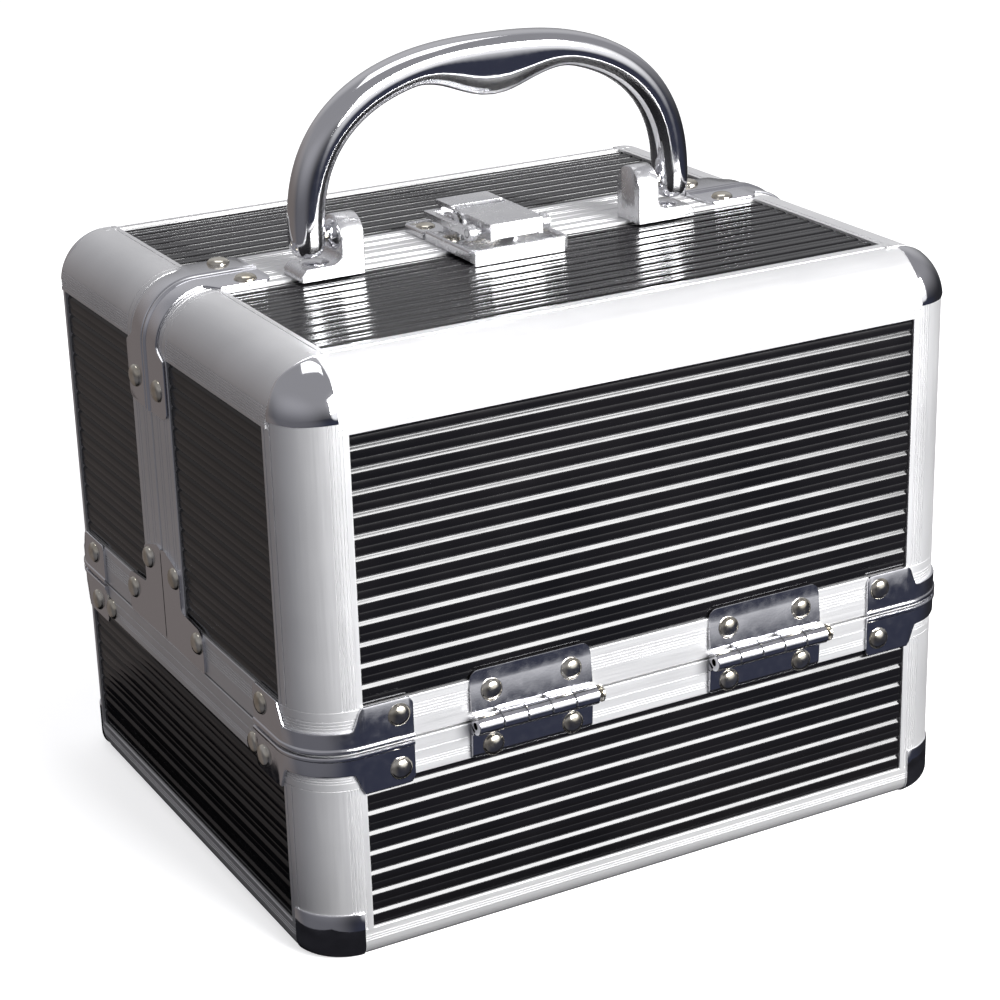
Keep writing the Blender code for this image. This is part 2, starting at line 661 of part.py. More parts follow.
def make_handle():
    """A bail handle: an arch of oval section with a finger bump under its grip and round feet."""
    arch = [ring_points(*handle_ring(math.pi * i / HANDLE_RINGS)) for i in range(HANDLE_RINGS + 1)]
    rings = foot_rings(1)[::-1] + arch + foot_rings(-1)
    bm = bmesh.new()
    loops = [[bm.verts.new(point) for point in ring] for ring in rings]
    for near, far in zip(loops, loops[1:]):
        for i in range(HANDLE_SECTION):
            j = (i + 1) % HANDLE_SECTION
            bm.faces.new((near[i], near[j], far[j], far[i]))
    bm.faces.new(loops[0])
    bm.faces.new(loops[-1])
    handle = link("handle", bm, "chrome")
    for x_side in (-1, 1):
        start = HANDLE_X + x_side * BRACKET_X[1]
        cut(handle, bar("x", (HANDLE_Y, HANDLE_Z), HANDLE_PIN_BORE, start, HANDLE_X + x_side * HANDLE_BORE_X))
    handle.data.shade_smooth()


def is_crown(a, b):
    """Whether an edge runs along X at the top of a bracket's ear."""
    return min(a.z, b.z) > BRACKET_TOP - FIT and abs(a.y - b.y) < FIT


def is_outer_top(a, b, x, z):
    """Whether an edge runs along Y at the given x and z."""
    return all(abs(v.x - x) < FIT and abs(v.z - z) < FIT for v in (a, b))


def make_handle_mounts():
    """The two cast L brackets on the front lid's seam strip, and the pins that the handle turns on."""
    for x_side, left_right in ((-1, "left"), (1, "right")):
        inner, ear_out, plate_out = (HANDLE_X + x_side * x for x in BRACKET_X)
        foot = HEIGHT + BRACKET_LIFT
        plate_top = foot + BRACKET_PLATE
        low, high = BRACKET_Y
        ear = box((inner, low, foot), (ear_out, high, BRACKET_TOP), "ear")
        bevel_edges(ear, is_crown, BRACKET_ROUND, BRACKET_ROUND_STEPS)
        name = f"handle_bracket_{left_right}"
        bracket = box((inner, low, foot), (plate_out, high, plate_top), name, "chrome")
        bevel_edges(bracket, lambda a, b: is_outer_top(a, b, plate_out, plate_top), BRACKET_CHAMFER, 1)
        join(bracket, ear)
        pivot = (HANDLE_Y, HANDLE_Z)
        bore_start = HANDLE_X + x_side * BRACKET_BORE_X
        cut(bracket, bar("x", pivot, HANDLE_PIN_BORE, bore_start, ear_out + x_side * PAST))
        start, end = (HANDLE_X + x_side * x for x in HANDLE_PIN_X)
        bar("x", pivot, HANDLE_PIN_RADIUS, start, end, SMALL_STEPS, f"handle_pin_{left_right}", "nickel")


def latch_box(x_low, x_high, y, z, name="tool", finish=None):
    """A box placed from the latch's middle, with its Y and Z extents given as pairs."""
    return box((LATCH_X + x_low, y[0], z[0]), (LATCH_X + x_high, y[1], z[1]), name, finish)


def small_rivet(x, y, foot):
    """A low domed rivet standing on a plate."""
    top = foot + SMALL_RIVET_HEIGHT
    tip = SMALL_RIVET_RADIUS * RIVET_TIP
    return bar("z", (x, y), SMALL_RIVET_RADIUS, foot, top, SMALL_STEPS, tip=tip)


def eyed_bar(end_y):
    """The outline of a loop's side bar, with a round eye at its pivot."""
    y, z = LOOP_PIVOT
    low, high = LOOP_Z
    first = math.asin((high - z) / LOOP_EYE)
    turns = [first + (2 * math.pi - 2 * first) * k / ROUND_STEPS for k in range(ROUND_STEPS + 1)]
    eye = [(y + LOOP_EYE * math.cos(a), z + LOOP_EYE * math.sin(a)) for a in turns]
    return eye + [(end_y, low), (end_y, high)]


def make_latch_base():
    """The latch's plate on the front lid: raised sides, a folded front, two ears for the lever's pin."""
    rim_top = LATCH_TOP + LATCH_RIM
    lip_low = HEIGHT - LATCH_LIP_DROP
    front = LATCH_Y[0]
    base = latch_box(-LATCH_HALF, LATCH_HALF, LATCH_Y, (LATCH_FOOT, LATCH_TOP), "latch_base", "chrome")
    front_lip = latch_box(-LATCH_HALF, LATCH_HALF, (front, front + LATCH_WALL), (lip_low, LATCH_TOP))
    parts = [front_lip]
    for x_side in (-1, 1):
        edge = x_side * LATCH_HALF
        parts.append(latch_box(edge - x_side * LATCH_WALL, edge, LATCH_Y, (LATCH_FOOT, rim_top)))
        ear_in, ear_out = (x_side * x for x in EAR_X)
        parts.append(latch_box(ear_in, ear_out, EAR_Y, (LATCH_FOOT, EAR_TOP)))
        x, y = LATCH_RIVET
        parts.append(small_rivet(LATCH_X + x_side * x, y, LATCH_TOP - FIT))
    join(base, *parts)
    reach = EAR_X[1] + PAST
    cut(base, bar("x", LEVER_PIVOT, LEVER_BORE, LATCH_X - reach, LATCH_X + reach))
    low, high = LATCH_X - EAR_X[1], LATCH_X + EAR_X[1]
    bar("x", LEVER_PIVOT, LEVER_PIN_RADIUS, low, high, SMALL_STEPS, "latch_pin", "nickel")


def make_latch_lever():
    """The lever: a pressed channel with a front lip, and a stud on each side for the loop."""
    sheet = (LEVER_TOP - LEVER_SHEET, LEVER_TOP)
    lever = latch_box(-LEVER_HALF, LEVER_HALF, LEVER_Y, sheet, "latch_lever", "chrome")
    lip_y = (LEVER_Y[0], LEVER_Y[0] + LEVER_SHEET)
    parts = [latch_box(-LEVER_HALF, LEVER_HALF, lip_y, (LEVER_LIP_LOW, LEVER_TOP))]
    for x_side in (-1, 1):
        outer = x_side * LEVER_HALF
        parts.append(latch_box(outer - x_side * LEVER_SHEET, outer, LEVER_Y, (LEVER_FLANGE_LOW, LEVER_TOP)))
        start = LATCH_X + outer - x_side * LEVER_SHEET / 2
        parts.append(bar("x", LOOP_PIVOT, LOOP_STUD_RADIUS, start, LATCH_X + x_side * LOOP_BAR_X[1]))
    join(lever, *parts)
    reach = LEVER_HALF + PAST
    cut(lever, bar("x", LEVER_PIVOT, LEVER_BORE, LATCH_X - reach, LATCH_X + reach))


def make_latch_loop():
    """The loop: two side bars, the cross bar that hooks the keeper, and a flap over it."""
    cross_y, flap_y, flap_z = LOOP_CROSS_Y, LOOP_FLAP_Y, LOOP_FLAP_Z
    bar_out = LOOP_BAR_X[1]
    loop = latch_box(-bar_out, bar_out, cross_y, LOOP_Z, "latch_loop", "chrome")
    parts = [
        latch_box(-LEVER_HALF, LEVER_HALF, cross_y, (LOOP_Z[0], flap_z[1])),
        latch_box(-LEVER_HALF, LEVER_HALF, flap_y, flap_z),
    ]
    for x_side in (-1, 1):
        bar_in, bar_edge = (LATCH_X + x_side * x for x in LOOP_BAR_X)
        parts.append(prism(eyed_bar(cross_y[1]), bar_in, bar_edge))
    join(loop, *parts)
    reach = bar_out + PAST
    cut(loop, bar("x", LOOP_PIVOT, LOOP_BORE, LATCH_X - reach, LATCH_X + reach))


def make_latch_keeper():
    """The riveted plate on the back lid."""
    keeper = latch_box(-LATCH_HALF, LATCH_HALF, KEEPER_Y, (LATCH_FOOT, LATCH_TOP), "latch_keeper", "chrome")
    x, y = KEEPER_RIVET
    join(keeper, *(small_rivet(LATCH_X + side * x, y, LATCH_TOP - FIT) for side in (-1, 1)))


def hang_on(axis_name, place, *names):
    """Parents pieces to an empty on their joint's axis without moving them."""
    empty = bpy.data.objects.new(axis_name, None)
    empty.location = place
    bpy.context.scene.collection.objects.link(empty)
    for name in names:
        obj = bpy.data.objects[name]
        obj.parent = empty
        obj.matrix_parent_inverse = Matrix.Translation(-Vector(place))


def pieces(*starts):
    """The names of all pieces that start with one of the given words."""
    return [o.name for o in bpy.context.scene.objects if o.type == "MESH" and o.name.startswith(starts)]


def hang_moving_pieces():
    """Puts every moving piece on an empty at its joint."""
    hinge = {-1: (0, -HINGE_AXIS_Y, SEAM_Z), 1: (0, HINGE_AXIS_Y, SEAM_Z)}
    front_pieces = pieces("front_lid", "handle_bracket", "handle_pin", "latch_base", "latch_pin")
    hang_on("front_lid_axis", hinge[-1], *front_pieces)
    hang_on("back_lid_axis", hinge[1], *pieces("back_lid", "latch_keeper"))
    hang_on("handle_axis", (HANDLE_X, HANDLE_Y, HANDLE_Z), "handle")
    hang_on("lever_axis", (LATCH_X, *LEVER_PIVOT), "latch_lever")
    hang_on("loop_axis", (LATCH_X, *LOOP_PIVOT), "latch_loop")
    for front_back, y_side in (("front", -1), ("back", 1)):
        for which, foot in zip(("outer", "inner"), arm_feet()):
            place = (0, -y_side * foot, ARM_FOOT_Z)
            hang_on(f"{front_back}_{which}_arm_axis", place, *pieces(f"{front_back}_{which}_arm"))
        for which, height_on_arm in (("lower", ARM_LOW), ("upper", ARM_HIGH)):
            y, z = arm_point(ARM_FOOT_Y, height_on_arm, ARM_LEAN_IN)
            hang_on(f"{front_back}_{which}_tray_axis", (0, -y_side * y, z), f"{front_back}_{which}_tray")


def main():
    for obj in list(bpy.data.objects):
        bpy.data.objects.remove(obj)
    make_base()
    for front_back, y_side in (("front", -1), ("back", 1)):
        make_lid(f"{front_back}_lid", y_side)
        make_hinges(f"{front_back}_lid", y_side)
        make_arms_and_trays(front_back, y_side)
    make_handle()
    make_handle_mounts()
    make_latch_base()
    make_latch_lever()
    make_latch_loop()
    make_latch_keeper()
    hang_moving_pieces()


main()
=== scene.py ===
"""An aluminium-framed train case with ridged black panels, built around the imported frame."""
import json
import math

import bmesh
import bpy
from mathutils import Matrix, Vector

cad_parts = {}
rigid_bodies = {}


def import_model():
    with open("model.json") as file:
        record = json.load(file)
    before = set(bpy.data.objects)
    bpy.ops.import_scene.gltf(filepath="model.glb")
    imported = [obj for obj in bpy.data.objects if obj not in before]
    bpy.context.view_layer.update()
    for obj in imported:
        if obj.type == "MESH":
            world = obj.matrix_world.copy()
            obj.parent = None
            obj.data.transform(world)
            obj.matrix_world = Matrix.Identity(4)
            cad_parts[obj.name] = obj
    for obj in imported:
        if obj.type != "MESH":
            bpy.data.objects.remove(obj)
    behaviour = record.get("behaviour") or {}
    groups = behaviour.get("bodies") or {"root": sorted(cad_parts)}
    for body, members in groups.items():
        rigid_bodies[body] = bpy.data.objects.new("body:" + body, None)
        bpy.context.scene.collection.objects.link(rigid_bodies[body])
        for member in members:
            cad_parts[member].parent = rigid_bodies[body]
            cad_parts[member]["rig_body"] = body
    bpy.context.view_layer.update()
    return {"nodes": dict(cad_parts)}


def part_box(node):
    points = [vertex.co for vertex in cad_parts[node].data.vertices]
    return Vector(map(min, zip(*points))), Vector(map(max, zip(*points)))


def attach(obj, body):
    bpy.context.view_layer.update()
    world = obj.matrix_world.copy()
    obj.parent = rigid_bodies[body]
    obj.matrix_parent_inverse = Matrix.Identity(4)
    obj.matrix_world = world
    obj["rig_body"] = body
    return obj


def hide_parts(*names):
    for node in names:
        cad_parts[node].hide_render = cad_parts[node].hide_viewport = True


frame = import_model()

MM = 0.001

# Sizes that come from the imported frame.
RIM_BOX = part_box("base_rim")
HALF_LENGTH = RIM_BOX[1].x
HALF_DEPTH = RIM_BOX[1].y
BASE_TOP = RIM_BOX[1].z
RIM_FOOT = RIM_BOX[0].z
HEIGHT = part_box("front_lid_frame")[1].z
LID_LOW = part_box("front_lid_rim")[0].z
LID_EDGE = {"front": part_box("front_lid_rim")[1].y, "back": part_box("back_lid_rim")[0].y}
SIDES = {"front": -1, "back": 1}
ENDS = {"left": -1, "right": 1}

# Sizes of the visible skin.
ROUND = 15 * MM
ARC_STEPS = 24
WALL = 1.2 * MM
POST_FRONT = 16.5 * MM
POST_SIDE = 14 * MM
TOP_FACE = 15 * MM
TOP_FRONT_DROP = 17.2 * MM
TOP_SIDE_FACE = 17.4 * MM
TOP_SIDE_DROP = 16 * MM
RIM_LID = 11.3 * MM
SEAM_STRIP = 13.1 * MM
LIP_IN = 5.4 * MM
LIP = 1.1 * MM
CAP = Vector((14 * MM, 12 * MM, 14 * MM))
CAP_PROUD = 0.4 * MM
BOTTOM_RAIL = 9 * MM
BOTTOM_ROUND = 4.5 * MM
BOTTOM_FLANGE = 14 * MM
FOOT_LIFT = 0.4 * MM
TUCK = 1.0 * MM
PANEL_BACK = 1.6 * MM
PANEL_FACE = 1.25 * MM
PITCH = 5.7 * MM
# One ridge period: distance up the sheet and height above its valleys, in mm.
RIDGE = (
    (0.0, 0.6), (0.18, 0.54), (0.4, 0.42), (0.65, 0.26), (0.9, 0.1), (1.05, 0.02), (1.2, 0.0), (1.34, 0.04),
    (1.42, 0.2), (1.5, 0.42), (1.62, 0.55), (1.85, 0.6), (3.3, 0.61), (3.5, 0.56), (3.65, 0.53), (3.8, 0.56),
    (4.0, 0.61), (4.9, 0.61), (5.4, 0.61),
)

X, Y, Z = Vector((1, 0, 0)), Vector((0, 1, 0)), Vector((0, 0, 1))


# Materials

class Shader:
    """A Principled material with small helpers for its procedural detail."""

    def __init__(self, name, colour, metallic=0.0, roughness=0.5, **sockets):
        self.material = bpy.data.materials.new(name)
        self.material.use_nodes = True
        self.tree = self.material.node_tree
        self.shader = self.tree.nodes["Principled BSDF"]
        self.shader.inputs["Base Color"].default_value = (*colour, 1)
        self.shader.inputs["Metallic"].default_value = metallic
        self.shader.inputs["Roughness"].default_value = roughness
        for key, value in sockets.items():
            self.shader.inputs[key.replace("_", " ")].default_value = value
        self.place = self.tree.nodes.new("ShaderNodeTexCoord").outputs["Object"]
        self.last_normal = None

    def noise(self, scale, stretch=(1, 1, 1), detail=3.0, rough=0.5):
        mapping = self.tree.nodes.new("ShaderNodeMapping")
        mapping.inputs["Scale"].default_value = stretch
        self.tree.links.new(self.place, mapping.inputs["Vector"])
        noise = self.tree.nodes.new("ShaderNodeTexNoise")
        noise.inputs["Scale"].default_value = scale
        noise.inputs["Detail"].default_value = detail
        noise.inputs["Roughness"].default_value = rough
        self.tree.links.new(mapping.outputs["Vector"], noise.inputs["Vector"])
        return noise.outputs["Fac"]

    def cells(self, scale, feature="F1"):
        cells = self.tree.nodes.new("ShaderNodeTexVoronoi")
        cells.feature = feature
        cells.inputs["Scale"].default_value = scale
        self.tree.links.new(self.place, cells.inputs["Vector"])
        return cells.outputs["Distance"]

    def ranged(self, value, low, high, start=0.3, end=0.7):
        spread = self.tree.nodes.new("ShaderNodeMapRange")
        spread.inputs["From Min"].default_value = start
        spread.inputs["From Max"].default_value = end
        spread.inputs["To Min"].default_value = low
        spread.inputs["To Max"].default_value = high
        self.tree.links.new(value, spread.inputs["Value"])
        return spread.outputs["Result"]

    def vary_roughness(self, value, low, high):
        self.tree.links.new(self.ranged(value, low, high), self.shader.inputs["Roughness"])
        return self

    def vary_colour(self, value, dark, light, start=0.35, end=0.65):
        ramp = self.tree.nodes.new("ShaderNodeValToRGB")
        ramp.color_ramp.elements[0].position = start
        ramp.color_ramp.elements[1].position = end
        ramp.color_ramp.elements[0].color = (*dark, 1)
        ramp.color_ramp.elements[1].color = (*light, 1)
        self.tree.links.new(value, ramp.inputs["Fac"])
        self.tree.links.new(ramp.outputs["Color"], self.shader.inputs["Base Color"])
        return self

    def bump(self, value, depth, strength=1.0):
        bump = self.tree.nodes.new("ShaderNodeBump")
        bump.inputs["Strength"].default_value = strength
        bump.inputs["Distance"].default_value = depth
        self.tree.links.new(value, bump.inputs["Height"])
        if self.last_normal:
            self.tree.links.new(self.last_normal, bump.inputs["Normal"])
        self.last_normal = bump.outputs["Normal"]
        self.tree.links.new(self.last_normal, self.shader.inputs["Normal"])
        return self


def brushed(axis):
    """Anodised aluminium with its drawing marks along one axis."""
    along = [900.0, 900.0, 900.0]
    along["xyz".index(axis)] = 12.0
    shader = Shader(f"aluminium_{axis}", (0.8, 0.8, 0.82), 0.72, 0.42)
    streaks = shader.noise(3.0, along, 4.0, 0.6)
    clouds = shader.noise(35.0)
    shader.vary_colour(clouds, (0.775, 0.774, 0.778), (0.845, 0.844, 0.848))
    shader.vary_roughness(streaks, 0.38, 0.5)
    shader.bump(streaks, 0.012 * MM, 0.6)
    return shader.material


def polished_chrome():
    shader = Shader("chrome", (0.83, 0.83, 0.85), 1.0, 0.06)
    shader.vary_roughness(shader.noise(300.0), 0.035, 0.1)
    shader.bump(shader.noise(160.0, detail=1.0), 0.03 * MM, 0.5)
    shader.bump(shader.noise(2200.0), 0.003 * MM, 0.5)
    return shader.material


def satin_chrome():
    """Cast and plated: bright but soft, with a fine tumbled grain."""
    shader = Shader("satin_chrome", (0.82, 0.82, 0.84), 0.86, 0.24)
    shader.vary_colour(shader.noise(90.0), (0.78, 0.78, 0.8), (0.86, 0.86, 0.87))
    shader.vary_roughness(shader.noise(300.0), 0.18, 0.32)
    shader.bump(shader.noise(1800.0), 0.006 * MM, 0.5)
    return shader.material


def stamped_chrome():
    """Thin plated sheet: bright, with the waviness of a stamping."""
    shader = Shader("stamped_chrome", (0.8, 0.8, 0.83), 1.0, 0.12)
    shader.vary_roughness(shader.noise(420.0), 0.08, 0.2)
    shader.bump(shader.noise(120.0, detail=1.0), 0.12 * MM, 0.5)
    shader.bump(shader.noise(1400.0), 0.01 * MM, 0.5)
    return shader.material


def rivet_nickel():
    shader = Shader("nickel", (0.72, 0.68, 0.58), 1.0, 0.16)
    shader.vary_colour(shader.noise(260.0), (0.6, 0.55, 0.45), (0.8, 0.77, 0.69))
    shader.vary_roughness(shader.noise(500.0), 0.1, 0.24)
    shader.bump(shader.noise(900.0), 0.01 * MM, 0.5)
    return shader.material


def moulded_black():
    """Glossy black sheet with a faint orange peel and handling haze."""
    shader = Shader("panel_black", (0.005, 0.005, 0.006), 0.0, 0.16, Specular_IOR_Level=0.5)
    shader.vary_colour(shader.noise(30.0), (0.0038, 0.0037, 0.0044), (0.0065, 0.006, 0.0068))
    shader.vary_roughness(shader.noise(90.0), 0.12, 0.22)
    shader.bump(shader.noise(2600.0), 0.004 * MM, 0.5)
    return shader.material


def felt_lining():
    shader = Shader("lining", (0.02, 0.02, 0.022), 0.0, 0.95, Sheen_Weight=0.35, Sheen_Roughness=0.5)
    fibres = shader.noise(1800.0, detail=6.0, rough=0.7)
    shader.vary_colour(fibres, (0.012, 0.012, 0.014), (0.05, 0.05, 0.053))
    shader.bump(fibres, 0.12 * MM, 0.8)
    return shader.material


def zinc_steel():
    shader = Shader("steel", (0.6, 0.61, 0.62), 1.0, 0.3)
    shader.vary_colour(shader.cells(420.0), (0.5, 0.51, 0.53), (0.68, 0.69, 0.7), 0.2, 0.8)
    shader.vary_roughness(shader.noise(240.0), 0.24, 0.42)
    shader.bump(shader.noise(1500.0, (1, 1, 0.05)), 0.006 * MM, 0.5)
    return shader.material


def tray_plastic():
    shader = Shader("tray_black", (0.03, 0.03, 0.033), 0.0, 0.5)
    grain = shader.cells(1500.0)
    shader.vary_colour(shader.noise(60.0), (0.026, 0.026, 0.029), (0.038, 0.038, 0.041))
    shader.vary_roughness(grain, 0.42, 0.6)
    shader.bump(grain, 0.03 * MM, 0.5)
    return shader.material


ALUMINIUM = {axis: brushed(axis) for axis in "xyz"}
CHROME = polished_chrome()
SATIN = satin_chrome()
STAMPED = stamped_chrome()
NICKEL = rivet_nickel()
PANEL = moulded_black()
LINING = felt_lining()
STEEL = zinc_steel()
TRAY = tray_plastic()


# Mesh helpers

def solid(rings, closed_path=False):
    """Vertices and faces through rings of equal length; open ends get flat caps."""
    count, length = len(rings), len(rings[0])
    verts = [point for ring in rings for point in ring]
    faces = []
    for i in range(count if closed_path else count - 1):
        j = (i + 1) % count
        for k in range(length):
            m = (k + 1) % length
            faces.append((i * length + k, i * length + m, j * length + m, j * length + k))
    if not closed_path:
        faces.append(tuple(range(length)))
        faces.append(tuple((count - 1) * length + k for k in range(length)))
    return verts, faces


def piece(name, parts, body, replaces=(), angle=35, bevel=0.0):
    """One object made of closed solids, given as ((vertices, faces), material) pairs."""
    mesh = bpy.data.meshes.new(name)
    verts, faces, marks, materials = [], [], [], []
    for (points, polygons), material in parts:
        if material not in materials:
            materials.append(material)
        start = len(verts)
        verts.extend(points)
        faces.extend(tuple(start + i for i in face) for face in polygons)
        marks.extend([materials.index(material)] * len(polygons))
    mesh.from_pydata(verts, [], faces)
    for material in materials:
        mesh.materials.append(material)
    mesh.polygons.foreach_set("material_index", marks)
    bm = bmesh.new()
    bm.from_mesh(mesh)
    bmesh.ops.recalc_face_normals(bm, faces=bm.faces)
    bm.to_mesh(mesh)
    bm.free()
    return finished(name, mesh, body, replaces, angle, bevel)


def finished(name, mesh, body, replaces, angle, bevel):
    mesh.shade_smooth()
    mesh.set_sharp_from_angle(angle=math.radians(angle))
    obj = bpy.data.objects.new(name, mesh)
    bpy.context.scene.collection.objects.link(obj)
    if bevel:
        soften = obj.modifiers.new("soft_edges", "BEVEL")
        soften.width = bevel
        soften.segments = 2
        soften.limit_method = "ANGLE"
        soften.angle_limit = math.radians(angle)
        soften.harden_normals = True
    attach(obj, body)
    if replaces:
        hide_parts(*replaces)
    return obj


def softened(node, material, width=0.25 * MM, body=None):
    """A piece with the shape of a CAD node, its flat faces whole and its edges rounded."""
    bm = bmesh.new()
    bm.from_mesh(frame["nodes"][node].data)
    bmesh.ops.remove_doubles(bm, verts=bm.verts, dist=1e-6)
    bmesh.ops.dissolve_limit(bm, angle_limit=math.radians(1), verts=bm.verts, edges=bm.edges)
    mesh = bpy.data.meshes.new(f"{node}_look")
    bm.to_mesh(mesh)
    bm.free()
    mesh.materials.clear()
    mesh.materials.append(material)
    mesh.polygons.foreach_set("material_index", [0] * len(mesh.polygons))
    home = body or frame["nodes"][node]["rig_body"]
    return finished(f"{node}_look", mesh, home, [node], 28, width)


def filleted(points, normals, radius=ROUND, closed=False, steps=ARC_STEPS):
    """A path over straight faces with rounded right-angle corners, as (point, normal) pairs."""
    path = [] if closed else [(points[0], normals[0])]
    corners = range(len(points)) if closed else range(1, len(points) - 1)
    for i in corners:
        before, after = normals[i - 1], normals[i % len(normals)]
        centre = points[i] - (before + after) * radius
        for k in range(steps + 1):
            turn = math.pi / 2 * k / steps
            normal = before * math.cos(turn) + after * math.sin(turn)
            path.append((centre + normal * radius, normal))
    if not closed:
        path.append((points[-1], normals[-1]))
    return path


def swept(path, across, profile, closed=False):
    """A profile of (outward, along across) pairs carried along a path."""
    rings = [[p + n * out + across * t for out, t in profile] for p, n in path]
    return solid(rings, closed)


def resampled(path, stations):
    """Points and normals of a path at given distances along it."""
    lengths = [0.0]
    for (a, _), (b, _) in zip(path, path[1:]):
        lengths.append(lengths[-1] + (b - a).length)
    found = []
    i = 0
    for station in sorted(min(max(s, 0.0), lengths[-1]) for s in stations):
        while i < len(path) - 2 and lengths[i + 1] < station:
            i += 1
        span = lengths[i + 1] - lengths[i]
        share = (station - lengths[i]) / span if span else 0.0
        point = path[i][0].lerp(path[i + 1][0], share)
        found.append((point, path[i][1].lerp(path[i + 1][1], share).normalized()))
    return found, lengths


def corner_path(corner, a, b, reach_a, reach_b, radius=ROUND):
    """A path round one edge of the case, from face a to face b, reaching so far from the sharp corner."""
    first = math.asin(max(0.0, 1 - reach_a / radius))
    last = math.acos(max(0.0, 1 - reach_b / radius))
    path = [(corner - b * reach_a, a)] if reach_a > radius else []
    for k in range(ARC_STEPS + 1):
        turn = first + (last - first) * k / ARC_STEPS
        normal = a * math.cos(turn) + b * math.sin(turn)
        path.append((corner - (a + b) * radius + normal * radius, normal))
    if reach_b > radius:
        path.append((corner - a * reach_b, b))
    return path


def rail(path, start, along, grooves, width=0.4 * MM, depth=0.26 * MM):
    """An extruded edge section; its grooves lie so far from its first edge, or from its last if negative."""
    _, lengths = resampled(path, [0])
    total = lengths[-1]
    spots = [g if g > 0 else total + g for g in grooves]
    stations = list(lengths)
    for spot in spots:
        stations = [s for s in stations if abs(s - spot) > width]
        stations += [spot - width / 2, spot - width / 5, spot + width / 5, spot + width / 2]
    samples, _ = resampled(path, stations)
    ordered = sorted(min(max(s, 0.0), total) for s in stations)
    outline = []
    for (point, normal), s in zip(samples, ordered):
        deep = any(abs(s - spot) < width / 3 for spot in spots)
        outline.append(point - normal * (depth if deep else 0.0))
    inner, _ = resampled(path, lengths)
    outline += [point - normal * WALL for point, normal in reversed(inner)]
    return solid([[p + start for p in outline], [p + start + along for p in outline]])


def grooved(low, high, grooves, face=0.0, width=0.38 * MM, depth=0.24 * MM):
    """Outer edge of a flat strip's section from low to high, as (outward, along) pairs."""
    line = [(face - 0.25 * MM, low), (face, low + 0.25 * MM)]
    for spot in sorted(grooves):
        line += [(face, spot - width / 2), (face - depth, spot - width / 5)]
        line += [(face - depth, spot + width / 5), (face, spot + width / 2)]
    return line + [(face, high - 0.2 * MM), (face - 0.2 * MM, high)]


def dome(centre, axis, radius=3.1 * MM, height=1.5 * MM, segments=32, foot=0.25 * MM):
    """A domed rivet head standing on a surface."""
    side = axis.orthogonal().normalized()
    other = axis.cross(side)
    outline = [(radius, -foot), (radius, 0.15 * MM)]
    for k in range(1, 9):
        turn = math.pi / 2 * k / 8
        lift = 0.2 * MM + (height - 0.2 * MM) * math.sin(turn)
        outline.append((radius * 0.96 * math.cos(turn) + 1e-6, lift))
    rings = []
    for reach, lift in outline:
        turns = [2 * math.pi * k / segments for k in range(segments)]
        rings.append([
            centre + axis * lift + (side * math.cos(t) + other * math.sin(t)) * reach for t in turns
        ])
    return solid(rings)


def round_bar(start, end, radius, segments=28, chamfer=0.2 * MM):
    """A round bar between two points with softened ends."""
    axis = (end - start).normalized()
    side = axis.orthogonal().normalized()
    other = axis.cross(side)
    outline = [(start, radius - chamfer), (start + axis * chamfer, radius)]
    outline += [(end - axis * chamfer, radius), (end, radius - chamfer)]
    rings = []
    for centre, reach in outline:
        turns = [2 * math.pi * k / segments for k in range(segments)]
        rings.append([centre + (side * math.cos(t) + other * math.sin(t)) * reach for t in turns])
    return solid(rings)


def plate(outline, origin, a, b, normal, thick, proud):
    """A flat plate from an outline in the (a, b) plane, its outer edge slightly bevelled."""
    soft = 0.2 * MM
    middle = sum((Vector(p) for p in outline), Vector((0, 0))) / len(outline)
    shrunk = []
    count = len(outline)
    for i, p in enumerate(outline):
        before, after = Vector(outline[i - 1]), Vector(outline[(i + 1) % count])
        along = (after - before).normalized()
        inward = Vector((-along.y, along.x))
        if inward.dot(middle - Vector(p)) < 0 and shrunk == []:
            inward = -inward
        shrunk.append(Vector(p) + inward * soft)
    rings = []
    for points, lift in ((outline, proud - thick), (outline, proud - soft), (shrunk, proud)):
        rings.append([origin + a * p[0] + b * p[1] + normal * lift for p in points])
    return solid(rings)


def rounded_outline(corners, radius, steps=5):
    """A closed outline through corners, each rounded."""
    outline = []
    count = len(corners)
    for i, corner in enumerate(corners):
        here = Vector(corner)
        before = (Vector(corners[i - 1]) - here)
        after = (Vector(corners[(i + 1) % count]) - here)
        reach = min(radius, before.length * 0.45, after.length * 0.45)
        start, end = here + before.normalized() * reach, here + after.normalized() * reach
        for k in range(steps + 1):
            t = k / steps
            outline.append(start.lerp(here, t).lerp(here.lerp(end, t), t))
    return outline


# The case's parts

def panel(origin, along, up, out, length, height):
    """A ridged sheet; its ridges run along its length."""
    line = []
    count = int(height / PITCH) + 1
    shift = (count * PITCH - height) / 2
    for i in range(count + 1):
        for t, h in RIDGE:
            place = i * PITCH + t * MM - shift
            if 0 < place < height:
                line.append((place, h * MM))
    line = [(0.0, 0.3 * MM)] + line + [(height, 0.3 * MM)]
    base = PANEL_FACE
    section = [(t, h - base) for t, h in line] + [(height, -PANEL_BACK), (0.0, -PANEL_BACK)]
    ends = []
    for x in (0.0, length):
        ends.append([origin + along * x + up * t + out * o for t, o in section])
    return solid(ends)


def box_panel(out, along, up, low, high):
    """A panel on the face that looks out, between low and high corners given as (along, up)."""
    face = HEIGHT if out == Z else (HALF_LENGTH if abs(out.x) > 0.5 else HALF_DEPTH)
    origin = out * face + along * low[0] + up * low[1]
    return panel(origin, along, up, out, high[0] - low[0], high[1] - low[1])


